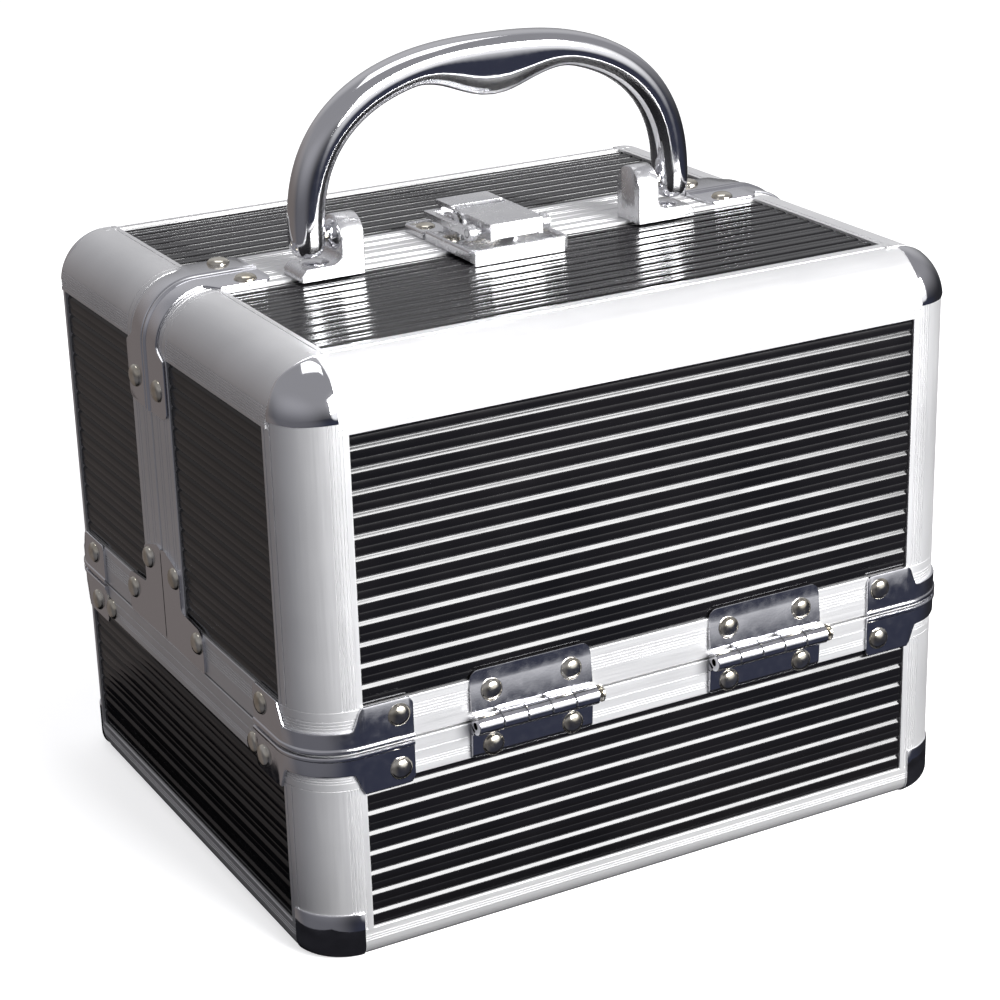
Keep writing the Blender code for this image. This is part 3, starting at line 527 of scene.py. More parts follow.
def base_panels():
    parts = []
    top = RIM_FOOT + TUCK
    low = BOTTOM_RAIL - TUCK
    reach_x = HALF_LENGTH - POST_FRONT + TUCK
    reach_y = HALF_DEPTH - POST_SIDE + TUCK
    for side in (-1, 1):
        parts.append((box_panel(Y * side, X, Z, (-reach_x, low), (reach_x, top)), PANEL))
        parts.append((box_panel(X * side, Y, Z, (-reach_y, low), (reach_y, top)), PANEL))
    piece("base_panels", parts, "base")


def lid_panels(lid):
    side = SIDES[lid]
    body = f"{lid}_lid"
    edge = LID_EDGE[lid]
    low = LID_LOW + RIM_LID - TUCK
    reach_x = HALF_LENGTH - POST_FRONT + TUCK
    parts = []
    top = HEIGHT - TOP_FRONT_DROP + TUCK
    parts.append((box_panel(Y * side, X, Z, (-reach_x, low), (reach_x, top)), PANEL))
    near = edge + side * (SEAM_STRIP - TUCK)
    far = side * (HALF_DEPTH - POST_SIDE + TUCK)
    span = sorted((near, far))
    top = HEIGHT - TOP_SIDE_DROP + TUCK
    for end in (-1, 1):
        parts.append((box_panel(X * end, Y, Z, (span[0], low), (span[1], top)), PANEL))
    far = side * (HALF_DEPTH - TOP_FACE + TUCK)
    span = sorted((near, far))
    reach_x = HALF_LENGTH - TOP_SIDE_FACE + TUCK
    flipped = Y * side
    start = min(near * side, far * side)
    length = span[1] - span[0]
    origin = Z * HEIGHT + X * -reach_x + flipped * start
    parts.append((panel(origin, X, flipped, Z, 2 * reach_x, length), PANEL))
    piece(f"{lid}_lid_panels", parts, body)


POST_GROOVES = [d * MM for d in (1.8, 2.65, 3.5, 4.35, 5.2, -1.2, -3.4)]
TOP_GROOVES = [d * MM for d in (2.6, -1.5, -2.3, -3.1)]
SIDE_GROOVES = [d * MM for d in (-1.2, -1.9, -2.6, -3.3, -4.0, -4.7, -5.4, 1.4)]


def posts(low, high, sides=(-1, 1)):
    parts = []
    for side in sides:
        for end in (-1, 1):
            corner = X * end * HALF_LENGTH + Y * side * HALF_DEPTH
            path = corner_path(corner, Y * side, X * end, POST_FRONT, POST_SIDE)
            parts.append((rail(path, Z * low, Z * (high - low), POST_GROOVES), ALUMINIUM["z"]))
    return parts


def base_frame():
    parts = posts(BOTTOM_RAIL - TUCK, RIM_FOOT)
    corners = [
        Vector((-HALF_LENGTH, -HALF_DEPTH, 0)), Vector((HALF_LENGTH, -HALF_DEPTH, 0)),
        Vector((HALF_LENGTH, HALF_DEPTH, 0)), Vector((-HALF_LENGTH, HALF_DEPTH, 0)),
    ]
    normals = [-Y, X, Y, -X]
    ring = filleted(corners, normals, closed=True)
    floor = FOOT_LIFT
    line = grooved(floor + BOTTOM_ROUND, BOTTOM_RAIL, [d * MM for d in (5.6, 6.3, 7.0)])[2:]
    line = [(-0.1 * MM, floor + BOTTOM_ROUND + 0.2 * MM), (0.0, floor + BOTTOM_ROUND + 0.5 * MM)] + line
    turned = []
    for k in range(9):
        turn = math.pi / 2 * k / 8
        out = -BOTTOM_ROUND * (1 - math.cos(turn)) - 0.1 * MM
        turned.append((out, floor + BOTTOM_ROUND * (1 - math.sin(turn))))
    section = list(reversed(line)) + turned
    section += [(-BOTTOM_FLANGE, floor), (-BOTTOM_FLANGE, floor + 1.0 * MM)]
    section += [(-BOTTOM_ROUND, floor + 1.0 * MM), (-1.1 * MM, floor + BOTTOM_ROUND)]
    section += [(-1.1 * MM, BOTTOM_RAIL)]
    parts.append((swept(ring, Z, section, closed=True), ALUMINIUM["x"]))
    piece("base_edge_frame", parts, "base", ["base_frame"])

    grooves = [RIM_FOOT + d * MM for d in (2.2, 2.9, 3.6, 6.3)]
    line = grooved(RIM_FOOT, BASE_TOP, grooves)
    section = line + [(-LIP_IN, BASE_TOP), (-LIP_IN, BASE_TOP - LIP)]
    section += [(-WALL, BASE_TOP - LIP), (-WALL, RIM_FOOT)]
    rim = swept(ring, Z, section, closed=True)
    piece("base_seam_rim", [(rim, ALUMINIUM["x"])], "base", ["base_rim"])


def lid_frame(lid):
    side = SIDES[lid]
    edge = LID_EDGE[lid]
    body = f"{lid}_lid"
    rim_top = LID_LOW + RIM_LID
    top_in = HEIGHT - CAP.z - 0.4 * MM + TUCK
    parts = posts(rim_top, top_in, (side,))
    reach = HALF_LENGTH - CAP.x + 0.4 * MM
    corner = Y * side * HALF_DEPTH + Z * HEIGHT
    path = corner_path(corner, Z, Y * side, TOP_FACE, TOP_FRONT_DROP)
    parts.append((rail(path, X * -reach, X * 2 * reach, TOP_GROOVES), ALUMINIUM["x"]))
    start = edge + side * SEAM_STRIP
    stop = side * (HALF_DEPTH - CAP.y + 0.4 * MM)
    for end in (-1, 1):
        corner = X * end * HALF_LENGTH + Z * HEIGHT
        path = corner_path(corner, Z, X * end, TOP_SIDE_FACE, TOP_SIDE_DROP)
        parts.append((rail(path, Y * start, Y * (stop - start), SIDE_GROOVES), ALUMINIUM["y"]))
    piece(f"{lid}_lid_edge_frame", parts, body, [f"{lid}_lid_frame"])

    points = [
        Vector((-HALF_LENGTH, edge, 0)), Vector((-HALF_LENGTH, side * HALF_DEPTH, 0)),
        Vector((HALF_LENGTH, side * HALF_DEPTH, 0)), Vector((HALF_LENGTH, edge, 0)),
    ]
    around = filleted(points, [-X, Y * side, X])
    grooves = [rim_top - d * MM for d in (2.6, 3.5, 4.3, 5.1, 5.9)]
    line = grooved(LID_LOW, rim_top, grooves)
    section = line + [(-WALL, rim_top), (-WALL, LID_LOW + LIP), (-LIP_IN, LID_LOW + LIP), (-LIP_IN, LID_LOW)]
    rims = [(swept(around, Z, section), ALUMINIUM["x"])]
    points = [
        Vector((-HALF_LENGTH, edge, rim_top)), Vector((-HALF_LENGTH, edge, HEIGHT)),
        Vector((HALF_LENGTH, edge, HEIGHT)), Vector((HALF_LENGTH, edge, rim_top)),
    ]
    over = filleted(points, [-X, Z, X])
    grooves = [d * MM for d in (3.6, 5.2, 8.8, 10.4)]
    line = grooved(0.0, SEAM_STRIP, grooves)
    section = line + [(-WALL, SEAM_STRIP), (-WALL, LIP), (-LIP_IN, LIP), (-LIP_IN, 0.0)]
    rims.append((swept(over, Y * side, section), ALUMINIUM["x"]))
    piece(f"{lid}_lid_seam_rim", rims, body, [f"{lid}_lid_rim"])


def corner_cap(name, side, end, node, body):
    """A pressed cap over one rounded top corner."""
    outer = Vector((end * HALF_LENGTH, side * HALF_DEPTH, HEIGHT))
    signs = (end, side, 1)
    count = 14
    grid = {}
    faces = []

    def vert(index):
        if index not in grid:
            grid[index] = len(grid)
        return grid[index]

    for axis in range(3):
        others = [i for i in range(3) if i != axis]
        for i in range(count):
            for j in range(count):
                quad = []
                for di, dj in ((0, 0), (1, 0), (1, 1), (0, 1)):
                    index = [0, 0, 0]
                    index[axis] = count
                    index[others[0]] = i + di
                    index[others[1]] = j + dj
                    quad.append(vert(tuple(index)))
                faces.append(tuple(quad))
    order = sorted(grid, key=grid.get)

    def layer(lift, edge_lift):
        points = []
        for index in order:
            point, core = Vector(), Vector()
            for k in range(3):
                depth = CAP[k] * (1 - index[k] / count)
                point[k] = outer[k] - signs[k] * depth
                core[k] = outer[k] - signs[k] * max(depth, ROUND)
            away = (point - core).normalized()
            raised = edge_lift if min(index) == 0 else lift
            points.append(core + away * (ROUND + raised))
        return points

    top = layer(CAP_PROUD, CAP_PROUD - 0.25 * MM)
    inner = layer(CAP_PROUD - WALL, CAP_PROUD - WALL)
    total = len(order)
    polygons = list(faces) + [tuple(total + i for i in reversed(face)) for face in faces]
    edges = {}
    for face in faces:
        for a, b in zip(face, face[1:] + face[:1]):
            edges.setdefault(frozenset((a, b)), []).append((a, b))
    for used in edges.values():
        if len(used) == 1:
            a, b = used[0]
            polygons.append((b, a, total + a, total + b))
    piece(name, [((top + inner, polygons), CHROME)], body, [node], angle=50)


def foot_cap(name, side, end, node):
    """A pressed cap round one bottom corner, curling under the case."""
    corner = X * end * HALF_LENGTH + Y * side * HALF_DEPTH
    path = corner_path(corner, Y * side, X * end, CAP.x, CAP.y)
    radius = BOTTOM_ROUND + CAP_PROUD
    section = [(CAP_PROUD - WALL, CAP.z), (CAP_PROUD - 0.2 * MM, CAP.z), (CAP_PROUD, CAP.z - 0.3 * MM)]
    for k in range(11):
        turn = math.pi / 2 * k / 10
        section.append((CAP_PROUD - radius * (1 - math.cos(turn)), radius * (1 - math.sin(turn))))
    section += [(-11 * MM, 0.0), (-11 * MM, 0.8 * MM), (-radius, 0.8 * MM), (CAP_PROUD - WALL, radius)]
    piece(name, [(swept(path, Z, section), CHROME)], "base", [node], angle=50)


CLAMP_FRONT = 30 * MM
CLAMP_SIDE = 29 * MM


def clamp(side, end, lid):
    """The chrome strap round one corner of a rim: a riveted pad on each face, a narrow band between."""
    corner = X * end * HALF_LENGTH + Y * side * HALF_DEPTH
    path = corner_path(corner, Y * side, X * end, CLAMP_FRONT, CLAMP_SIDE)
    _, lengths = resampled(path, [0])
    total = lengths[-1]
    stations = [total * k / 60 for k in range(61)]
    samples, _ = resampled(path, stations)
    seam = LID_LOW + 0.1 * MM if lid else BASE_TOP - 0.1 * MM
    up = 1 if lid else -1
    pad_height, band_height = 11.6 * MM, 5.6 * MM
    pad_front, pad_side = CLAMP_FRONT - 16.0 * MM, CLAMP_SIDE - 14.5 * MM
    blend = 3.0 * MM
    rings = []
    for (point, normal), s in zip(samples, stations):
        into = min(s - pad_front, total - pad_side - s)
        share = min(max(into / blend, 0.0), 1.0)
        share = share * share * (3 - 2 * share)
        height = pad_height + (band_height - pad_height) * share
        tip = min(s, total - s)
        nip = 1.6 * MM
        if tip < nip:
            height -= nip - math.sqrt(nip * nip - (nip - tip) ** 2)
        section = [
            (0.05, 0.0), (0.95, 0.05), (1.15, 0.3), (1.15, 0.9), (0.95, 1.25), (0.75, 1.4),
        ]
        tall = height / MM
        section += [(0.75, tall - 0.5), (0.62, tall - 0.1), (0.4, tall), (0.05, tall)]
        rings.append([point + normal * (o * MM) + Z * (seam + up * t * MM) for o, t in section])
    return solid(rings)


RIVET_Z = {True: 7.7 * MM, False: -7.2 * MM}


def rim_hardware(lid_name):
    """Clamps and rivets; lid_name is front, back or base."""
    lid = lid_name in SIDES
    body = f"{lid_name}_lid" if lid else "base"
    seam_mid = (LID_LOW + BASE_TOP) / 2
    rivet_z = seam_mid + RIVET_Z[lid]
    parts = []
    for side in ([SIDES[lid_name]] if lid else [-1, 1]):
        for end in (-1, 1):
            parts.append((clamp(side, end, lid), STAMPED))
            spot = Vector((end * (HALF_LENGTH - 26 * MM), side * (HALF_DEPTH + 0.75 * MM), rivet_z))
            parts.append((dome(spot, Y * side), NICKEL))
            reach = 24 * MM if side < 0 else 21.5 * MM
            spot = Vector((end * (HALF_LENGTH + 0.75 * MM), side * (HALF_DEPTH - reach), rivet_z))
            parts.append((dome(spot, X * end), NICKEL))
            if not lid:
                reach = HALF_DEPTH - (50.3 * MM if side < 0 else 51 * MM)
                spot = Vector((end * HALF_LENGTH, side * (HALF_DEPTH - reach), rivet_z + 0.3 * MM))
                parts.append((dome(spot, X * end), NICKEL))
    piece(f"{lid_name}_clamps", parts, body)


def corner_plates(lid):
    """The flat L plates riveted over the lower corners of a lid's seam edge."""
    side = SIDES[lid]
    edge = LID_EDGE[lid] - side * 0.35 * MM
    low = LID_LOW + 0.35 * MM
    parts = []
    wide = 12.2 * MM
    leg_up, leg_along = 26.5 * MM, 26.5 * MM
    inner = wide + 0.4 * MM
    corners = [
        (0, 0), (0, leg_up), (3 * MM, leg_up + 0.6 * MM), (wide, leg_up - 2.5 * MM),
        (wide, inner + 1.0 * MM), (wide + 1.0 * MM, inner), (leg_along - 2 * MM, inner - 0.8 * MM),
        (leg_along, inner - 3 * MM), (leg_along, 0),
    ]
    outline = rounded_outline(corners, 1.4 * MM)
    for end in (-1, 1):
        origin = Vector((end * HALF_LENGTH, edge, low))
        parts.append((plate(outline, origin, Y * side, Z, X * end, 0.9 * MM, 0.7 * MM), STAMPED))
        for y, z in ((9.2, 21.4), (22.8, 7.6)):
            spot = origin + Y * side * y * MM + Z * z * MM + X * end * 0.7 * MM
            parts.append((dome(spot, X * end), NICKEL))
    piece(f"{lid}_corner_plates", parts, f"{lid}_lid")


def saddle(lid, end):
    """The strap over one top end of a lid's seam edge, narrower over the bend than on its legs."""
    side = SIDES[lid]
    left_right = "left" if end < 0 else "right"
    node = f"{lid}_lid_saddle_{left_right}"
    edge = LID_EDGE[lid] - side * 0.05 * MM
    corner = X * end * HALF_LENGTH + Z * HEIGHT + Y * edge
    leg_side, leg_top = 33 * MM, 32 * MM
    path = corner_path(corner, X * end, Z, leg_side, leg_top)
    _, lengths = resampled(path, [0])
    total = lengths[-1]
    stations = [total * k / 64 for k in range(65)]
    samples, _ = resampled(path, stations)
    wide, narrow = 12.6 * MM, 8.2 * MM
    first, last = leg_side - 17 * MM, total - (leg_top - 17 * MM)
    rings = []
    for (point, normal), s in zip(samples, stations):
        share = min(max(min(s - first, last - s) / (3.5 * MM), 0.0), 1.0)
        share = share * share * (3 - 2 * share)
        width = wide + (narrow - wide) * share
        tip = min(s, total - s)
        nip = 2.2 * MM
        if tip < nip:
            width -= (nip - math.sqrt(nip * nip - (nip - tip) ** 2)) * 1.3
        across = width / MM
        section = [(0.1, 0.0), (1.05, 0.0), (1.3, 0.25), (1.3, 0.95), (1.05, 1.3), (0.8, 1.5)]
        section += [(0.8, across - 0.5), (0.68, across - 0.12), (0.45, across), (0.1, across)]
        rings.append([point + normal * (o * MM) + Y * side * (t * MM) for o, t in section])
    parts = [(solid(rings), STAMPED)]
    out = 0.8 * MM
    height = HEIGHT - 25.7 * MM
    parts.append((dome(Vector((end * (HALF_LENGTH + out), edge + side * 7.6 * MM, height)), X * end), NICKEL))
    along = HALF_LENGTH - 25.5 * MM
    parts.append((dome(Vector((end * along, edge + side * 8.8 * MM, HEIGHT + out)), Z), NICKEL))
    piece(f"{lid}_saddle_strap_{left_right}", parts, f"{lid}_lid", [node])


HINGE_WIDTH = 35.5 * MM
KNUCKLES = 5


def hinge_leaf(node, side, up, knuckles, body):
    """One leaf: a plate whose free edge bends back to the strip, its curled knuckles and two rivets."""
    low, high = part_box(node)
    middle = (low.x + high.x) / 2
    left = middle - HINGE_WIDTH / 2
    seam = (LID_LOW + BASE_TOP) / 2
    face = side * (HALF_DEPTH + 1.3 * MM)
    reach = 14 * MM if up > 0 else 10.5 * MM
    bend = 3.3 * MM if up > 0 else 1.4 * MM
    drop = 0.95 * MM if up > 0 else 0.7 * MM
    start = 3.0 * MM
    lean = 0.85 * MM if up > 0 else 0.3 * MM
    stations = [0, 0.25, 0.6, 1.1, 1.8, 2.6]
    offsets = [s * MM for s in stations] + [HINGE_WIDTH - s * MM for s in reversed(stations)]
    rings = []
    for x in offsets:
        tip = min(x, HINGE_WIDTH - x)
        nip = 2.6 * MM
        cut = nip - math.sqrt(max(nip * nip - (nip - tip) ** 2, 0)) if tip < nip else 0.0
        edge = reach - cut * (1.0 if up > 0 else 0.35)
        tilt_from = reach - bend
        if edge < tilt_from + 0.3 * MM:
            tilt_from = edge - 0.3 * MM
        back = lean / MM * (tilt_from - start) / (reach - bend - start)
        lift = (back * MM + drop * min(1.0, (edge - tilt_from) / bend)) / MM
        lift = min(lift, 1.05)
        section = [(-1.15, start), (0.0, start)]
        section += [(-back * 0.94, tilt_from - 0.5 * MM), (-back - 0.05, tilt_from)]
        section += [(-lift, edge - 0.1 * MM), (-lift - 0.12, edge), (-1.25, edge)]
        rings.append([Vector((left + x, face + side * o * MM, seam + up * t)) for o, t in section])
    parts = [(solid(rings), STAMPED)]
    axis_y = side * (HALF_DEPTH + 2.9 * MM)
    width = HINGE_WIDTH / KNUCKLES
    for index in knuckles:
        x_low = left + index * width + (0.12 * MM if index else 0)
        x_high = left + (index + 1) * width - (0.12 * MM if index < KNUCKLES - 1 else 0)
        barrel = round_bar(Vector((x_low, axis_y, seam)), Vector((x_high, axis_y, seam)), 2.6 * MM)
        parts.append((barrel, STAMPED))
        section = [(-0.85, 0.3 * MM), (1.35, 1.6 * MM), (0.55, 2.5 * MM), (0.0, 3.3 * MM), (-1.05, 3.3 * MM)]
        neck = [
            [Vector((x, face + side * o * MM, seam + up * t)) for o, t in section] for x in (x_low, x_high)
        ]
        parts.append((solid(neck), STAMPED))
    rivet_z = 7.9 * MM if up > 0 else 7.2 * MM
    sunk = side * lean * (rivet_z - start) / (reach - bend - start)
    for shift in (-11.7 * MM, 11.7 * MM):
        spot = Vector((middle + shift, face - sunk, seam + up * rivet_z))
        parts.append((dome(spot, Y * side, foot=0.5 * MM), NICKEL))
    piece(f"{node}_look", parts, body, [node])


def hinge_pin(node, side):
    low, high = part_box(node)
    axis = Vector((0, side * (HALF_DEPTH + 2.9 * MM), (LID_LOW + BASE_TOP) / 2))
    parts = [(round_bar(X * low.x + axis, X * (high.x - 0.6 * MM) + axis, 1.2 * MM), NICKEL)]
    parts.append((dome(X * (high.x - 0.9 * MM) + axis, X, 2.3 * MM, 0.9 * MM), NICKEL))
    piece(f"{node}_look", parts, "base", [node])


HANDLE_PIVOT = Vector((-2.3, -7.6, 170.2)) * MM
HANDLE_HALF_SPAN = 56.1 * MM
HANDLE_RISE = 42.8 * MM
HANDLE_SQUARENESS = 2.5
HANDLE_THICK = 4.7 * MM
HANDLE_DEPTH = 5.3 * MM
GRIP_BUMP = 7.2 * MM
GRIP_BUMP_HALF = 26 * MM


def handle_section(centre, outward, inner, outer):
    """A squarish oval across the handle."""
    ring = []
    count = 32
    for k in range(count):
        turn = 2 * math.pi * k / count
        c, s = math.cos(turn), math.sin(turn)
        c = math.copysign(abs(c) ** 0.86, c)
        s = math.copysign(abs(s) ** 0.86, s)
        ring.append(centre + outward * (c * (outer if c > 0 else inner)) + Y * (s * HANDLE_DEPTH))
    return ring


def handle():
    pivot = HANDLE_PIVOT
    rings = []
    power = 2 / HANDLE_SQUARENESS
    count = 96
    for i in range(count + 1):
        angle = math.pi * i / count
        across, up = math.cos(angle), max(math.sin(angle), 0.0)
        x = HANDLE_HALF_SPAN * math.copysign(abs(across) ** power, across)
        z = HANDLE_RISE * up ** power
        centre = pivot + X * x + Z * z
        lean = Vector((
            math.copysign(abs(x / HANDLE_HALF_SPAN) ** (HANDLE_SQUARENESS - 1) / HANDLE_HALF_SPAN, x),
            0, (z / HANDLE_RISE) ** (HANDLE_SQUARENESS - 1) / HANDLE_RISE,
        )).normalized()
        near = abs(x) < GRIP_BUMP_HALF
        bump = GRIP_BUMP * (1 + math.cos(math.pi * x / GRIP_BUMP_HALF)) / 2 if near else 0.0
        rings.append(handle_section(centre, lean, HANDLE_THICK + bump, HANDLE_THICK))
    feet = []
    for end in (1, -1):
        group = []
        for k in range(1, 8):
            turn = math.pi / 2 * k / 7.6
            shrink = math.cos(turn)
            centre = pivot + X * end * HANDLE_HALF_SPAN - Z * 5.0 * MM * math.sin(turn)
            ring = handle_section(centre, X * end, HANDLE_THICK * shrink ** 0.5, HANDLE_THICK * shrink ** 0.5)
            squeezed = [
                Vector((p.x, pivot.y + (p.y - pivot.y) * shrink ** 0.5, p.z)) for p in ring
            ]
            group.append(squeezed)
        feet.append(group)
    rings = feet[0][::-1] + rings + feet[1]
    piece("carry_handle_look", [(solid(rings), CHROME)], "carry_handle", ["handle"], angle=60)


def bracket_rings(end, inner, ear, outer):
    """Sections of a bracket from front to back: an L with a filleted corner under a round crown."""
    low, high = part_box("handle_bracket_left" if end < 0 else "handle_bracket_right")
    top = low.z + 3.3 * MM
    middle, half = (low.y + high.y) / 2, (high.y - low.y) / 2
    spring = high.z - half
    fillet, chamfer, soft = 3.0 * MM, 1.6 * MM, 0.35 * MM
    rings = []
    count = 28
    for i in range(count + 1):
        turn = math.pi * i / count
        y = middle - half * math.cos(turn)
        crown = spring + half * math.sin(turn)
        nip = soft * (1 - min(1.0, math.sin(turn) * 6))
        a, b, c = inner + end * nip, ear - end * nip, outer - end * nip
        points = [(a, low.z), (a, crown - soft), (a + end * soft, crown - nip), (b - end * soft, crown - nip)]
        points += [(b, crown - soft)]
        for k in range(7):
            bend = math.pi / 2 * k / 6
            x = b + end * fillet * (1 - math.cos(bend))
            points.append((x, top - nip + fillet * (1 - math.sin(bend))))
        points += [(c - end * chamfer, top - nip), (c, top - chamfer), (c, low.z)]
        rings.append([Vector((x, y, z)) for x, z in points])
    return rings


def handle_mounts():
    for end, left_right in ((-1, "left"), (1, "right")):
        node = f"handle_bracket_{left_right}"
        low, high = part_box(node)
        inner, outer = (high.x, low.x) if end < 0 else (low.x, high.x)
        ear = inner + end * 6.6 * MM
        top = low.z + 3.3 * MM
        parts = [(solid(bracket_rings(end, inner, ear, outer)), SATIN)]
        screw = Vector((inner + end * 11.9 * MM, HANDLE_PIVOT.y + 0.1 * MM, top - 0.1 * MM))
        parts.append((dome(screw, Z, 4.1 * MM, 0.8 * MM), CHROME))
        boss = Vector((ear, HANDLE_PIVOT.y, HANDLE_PIVOT.z))
        parts.append((dome(boss, X * end, 4.3 * MM, 2.3 * MM, foot=0.1 * MM), CHROME))
        piece(f"{node}_look", parts, "front_lid", [node], angle=50)
        softened(f"handle_pin_{left_right}", NICKEL, 0.1 * MM)


def rounded_rim(x_low, x_high, y_front, y_back, heights):
    """A raised rim round three sides of a latch plate; heights are its foot, front foot and top."""
    foot, front_foot, top = heights
    corners = ((x_low, y_back), (x_low, y_front), (x_high, y_front), (x_high, y_back))
    points = [Vector((x, y, 0)) for x, y in corners]
    across = Y if y_front > y_back else -Y
    path = filleted(points, [-X, across, X], 1.8 * MM, steps=6)
    rings = []
    for point, normal in path:
        low = foot + (front_foot - foot) * max(0.0, normal.dot(across)) ** 2
        section = [(-1.35, low), (-1.35, top - 0.55 * MM), (-1.1, top - 0.15 * MM)]
        section += [(-0.7, top), (-0.35, top - 0.08 * MM)]
        section += [(-0.08, top - 0.4 * MM), (0.0, top - 0.9 * MM), (0.0, low)]
        rings.append([point + normal * o * MM + Z * z for o, z in section])
    return solid(rings)


def flat_plate(x_low, x_high, y_low, y_high, z_low, z_high, soft=0.3 * MM):
    """A plate with its upper edges rounded."""
    rings = []
    for inset, z in ((0.0, z_low), (0.0, z_high - soft), (soft * 0.3, z_high - soft * 0.3), (soft, z_high)):
        corners = [
            (x_low + inset, y_low + inset), (x_high - inset, y_low + inset),
            (x_high - inset, y_high - inset), (x_low + inset, y_high - inset),
        ]
        rings.append([Vector((x, y, z)) for x, y in rounded_outline(corners, 1.2 * MM, 3)])
    return solid(rings)


def latch():
    """The draw latch's plates with rolled rims, and its rounded moving parts."""
    low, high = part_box("latch_base")
    middle = (low.x + high.x) / 2
    left, right = middle - 15.2 * MM, middle + 15.2 * MM
    foot, top = HEIGHT + 0.1 * MM, HEIGHT + 1.4 * MM
    rim = rounded_rim(left, right, -21 * MM, 5.4 * MM, (foot, HEIGHT - 0.8 * MM, HEIGHT + 3.0 * MM))
    parts = [(rim, SATIN), (flat_plate(left + MM, right - MM, -20.4 * MM, 5.4 * MM, foot, top), SATIN)]
    for end in (-1, 1):
        ear = [(-2.5, 0.2), (-2.5, 5.6), (-1.2, 7.6), (1.5, 8.3), (4.0, 7.4), (5.0, 5.4), (5.2, 0.2)]
        outline = rounded_outline([(y * MM, z * MM) for y, z in ear], 1.2 * MM, 4)
        origin = Vector((middle + end * 8.5 * MM, 0, HEIGHT))
        parts.append((plate(outline, origin, Y, Z, X * end, 1.2 * MM, 1.2 * MM), SATIN))
        pin = Vector((middle + end * 9.7 * MM, 1.5 * MM, HEIGHT + 5.9 * MM))
        parts.append((dome(pin, X * end, 1.6 * MM, 0.5 * MM, segments=20, foot=0.1 * MM), CHROME))
        spot = Vector((middle + end * 11.2 * MM, -1.5 * MM, top))
        parts.append((dome(spot, Z, 2.8 * MM, 1.1 * MM, segments=24), NICKEL))
    piece("latch_base_look", parts, "front_lid", ["latch_base"], angle=45)

    keeper = rounded_rim(left, right, 19.2 * MM, 7.2 * MM, (foot, foot, HEIGHT + 2.2 * MM))
    parts = [(keeper, SATIN), (flat_plate(left + MM, right - MM, 7.2 * MM, 18.6 * MM, foot, top), SATIN)]
    for end in (-1, 1):
        spot = Vector((middle + end * 10.6 * MM, 14.4 * MM, top))
        parts.append((dome(spot, Z, 2.8 * MM, 1.1 * MM, segments=24), NICKEL))
    piece("latch_keeper_look", parts, "back_lid", ["latch_keeper"], angle=45)

    lever = softened("latch_lever", SATIN, 0.45 * MM)
    ends = [Vector((middle + x, 1.7 * MM, HEIGHT + 8.35 * MM)) for x in (-7.7 * MM, 7.7 * MM)]
    crease = round_bar(*ends, 0.75 * MM, 16)
    piece("latch_crease", [(crease, CHROME)], lever["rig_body"])
    softened("latch_loop", SATIN, 0.6 * MM)
    softened("latch_pin", NICKEL, 0.15 * MM)


def inside():
    """Arms, trays, slotted plates and linings."""
    for name in frame["nodes"]:
        if name.endswith("_shell"):
            node = frame["nodes"][name]
            node.data.materials.clear()
            node.data.materials.append(LINING)
        elif "_arm_" in name:
            softened(name, STEEL, 0.15 * MM)
        elif "_slot_plate_" in name:
            softened(name, STEEL, 0.15 * MM)
        elif name.endswith("_tray"):
            softened(name, TRAY, 0.3 * MM)


# Stage, light and camera

FLOOR_REACH = 6.0
FLOOR_GLOW = 0.62
# Size and lift of the sheet that paints a dark reflection round the foot of the case.
REFLECTION_SHEET_REACH = (0.13, 0.112)
REFLECTION_SHEET_LIFT = 0.0002


def ground(name, reach_x, reach_y, lift):
    """A flat sheet under the case."""
    mesh = bpy.data.meshes.new(name)
    signs = ((-1, -1), (1, -1), (1, 1), (-1, 1))
    mesh.from_pydata([(x * reach_x, y * reach_y, lift) for x, y in signs], [], [(0, 1, 2, 3)])
    sheet = bpy.data.objects.new(name, mesh)
    bpy.context.scene.collection.objects.link(sheet)
    return sheet


def pale_floor():
    """A large pale floor; polished parts mirror the dark studio below its edge instead of it."""
    floor = ground("floor", FLOOR_REACH, FLOOR_REACH, 0)
    glow = {"Emission_Color": (1, 1, 1, 1), "Emission_Strength": FLOOR_GLOW}
    shader = Shader("paper", (0.93, 0.93, 0.93), 0.0, 0.9, **glow)
    shader.vary_colour(shader.noise(4.0), (0.925, 0.925, 0.925), (0.94, 0.94, 0.94))
    floor.data.materials.append(shader.material)
    floor.visible_glossy = False
    floor.visible_diffuse = False


def painted_reflection_sheet():
    """A dark sheet round the foot of the case, seen only in reflections: a painted dark reflection in the
    foot caps and low chrome.
    """
    dark_reflection_sheet = ground("dark_reflection_sheet", *REFLECTION_SHEET_REACH, REFLECTION_SHEET_LIFT)
    # Painted reflection: near-black colour that only the polished parts see, never the camera.
    shader = Shader("painted_reflection_black", (0.012, 0.012, 0.014), 0.0, 1.0, Specular_IOR_Level=0.0)
    shader.vary_colour(shader.noise(40.0), (0.01, 0.01, 0.012), (0.015, 0.015, 0.018))
    dark_reflection_sheet.data.materials.append(shader.material)
    dark_reflection_sheet.visible_camera = False
    dark_reflection_sheet.visible_diffuse = False
    dark_reflection_sheet.visible_shadow = False


def softbox(name, place, aim, size, power, colour=(1, 1, 1)):
    light = bpy.data.lights.new(name, "AREA")
    light.shape = "RECTANGLE"
    light.size, light.size_y = size
    light.energy = power
    light.color = colour
    lamp = bpy.data.objects.new(name, light)
    bpy.context.scene.collection.objects.link(lamp)
    lamp.location = place
    lamp.rotation_euler = (Vector(aim) - Vector(place)).to_track_quat("-Z", "Y").to_euler()
    return lamp


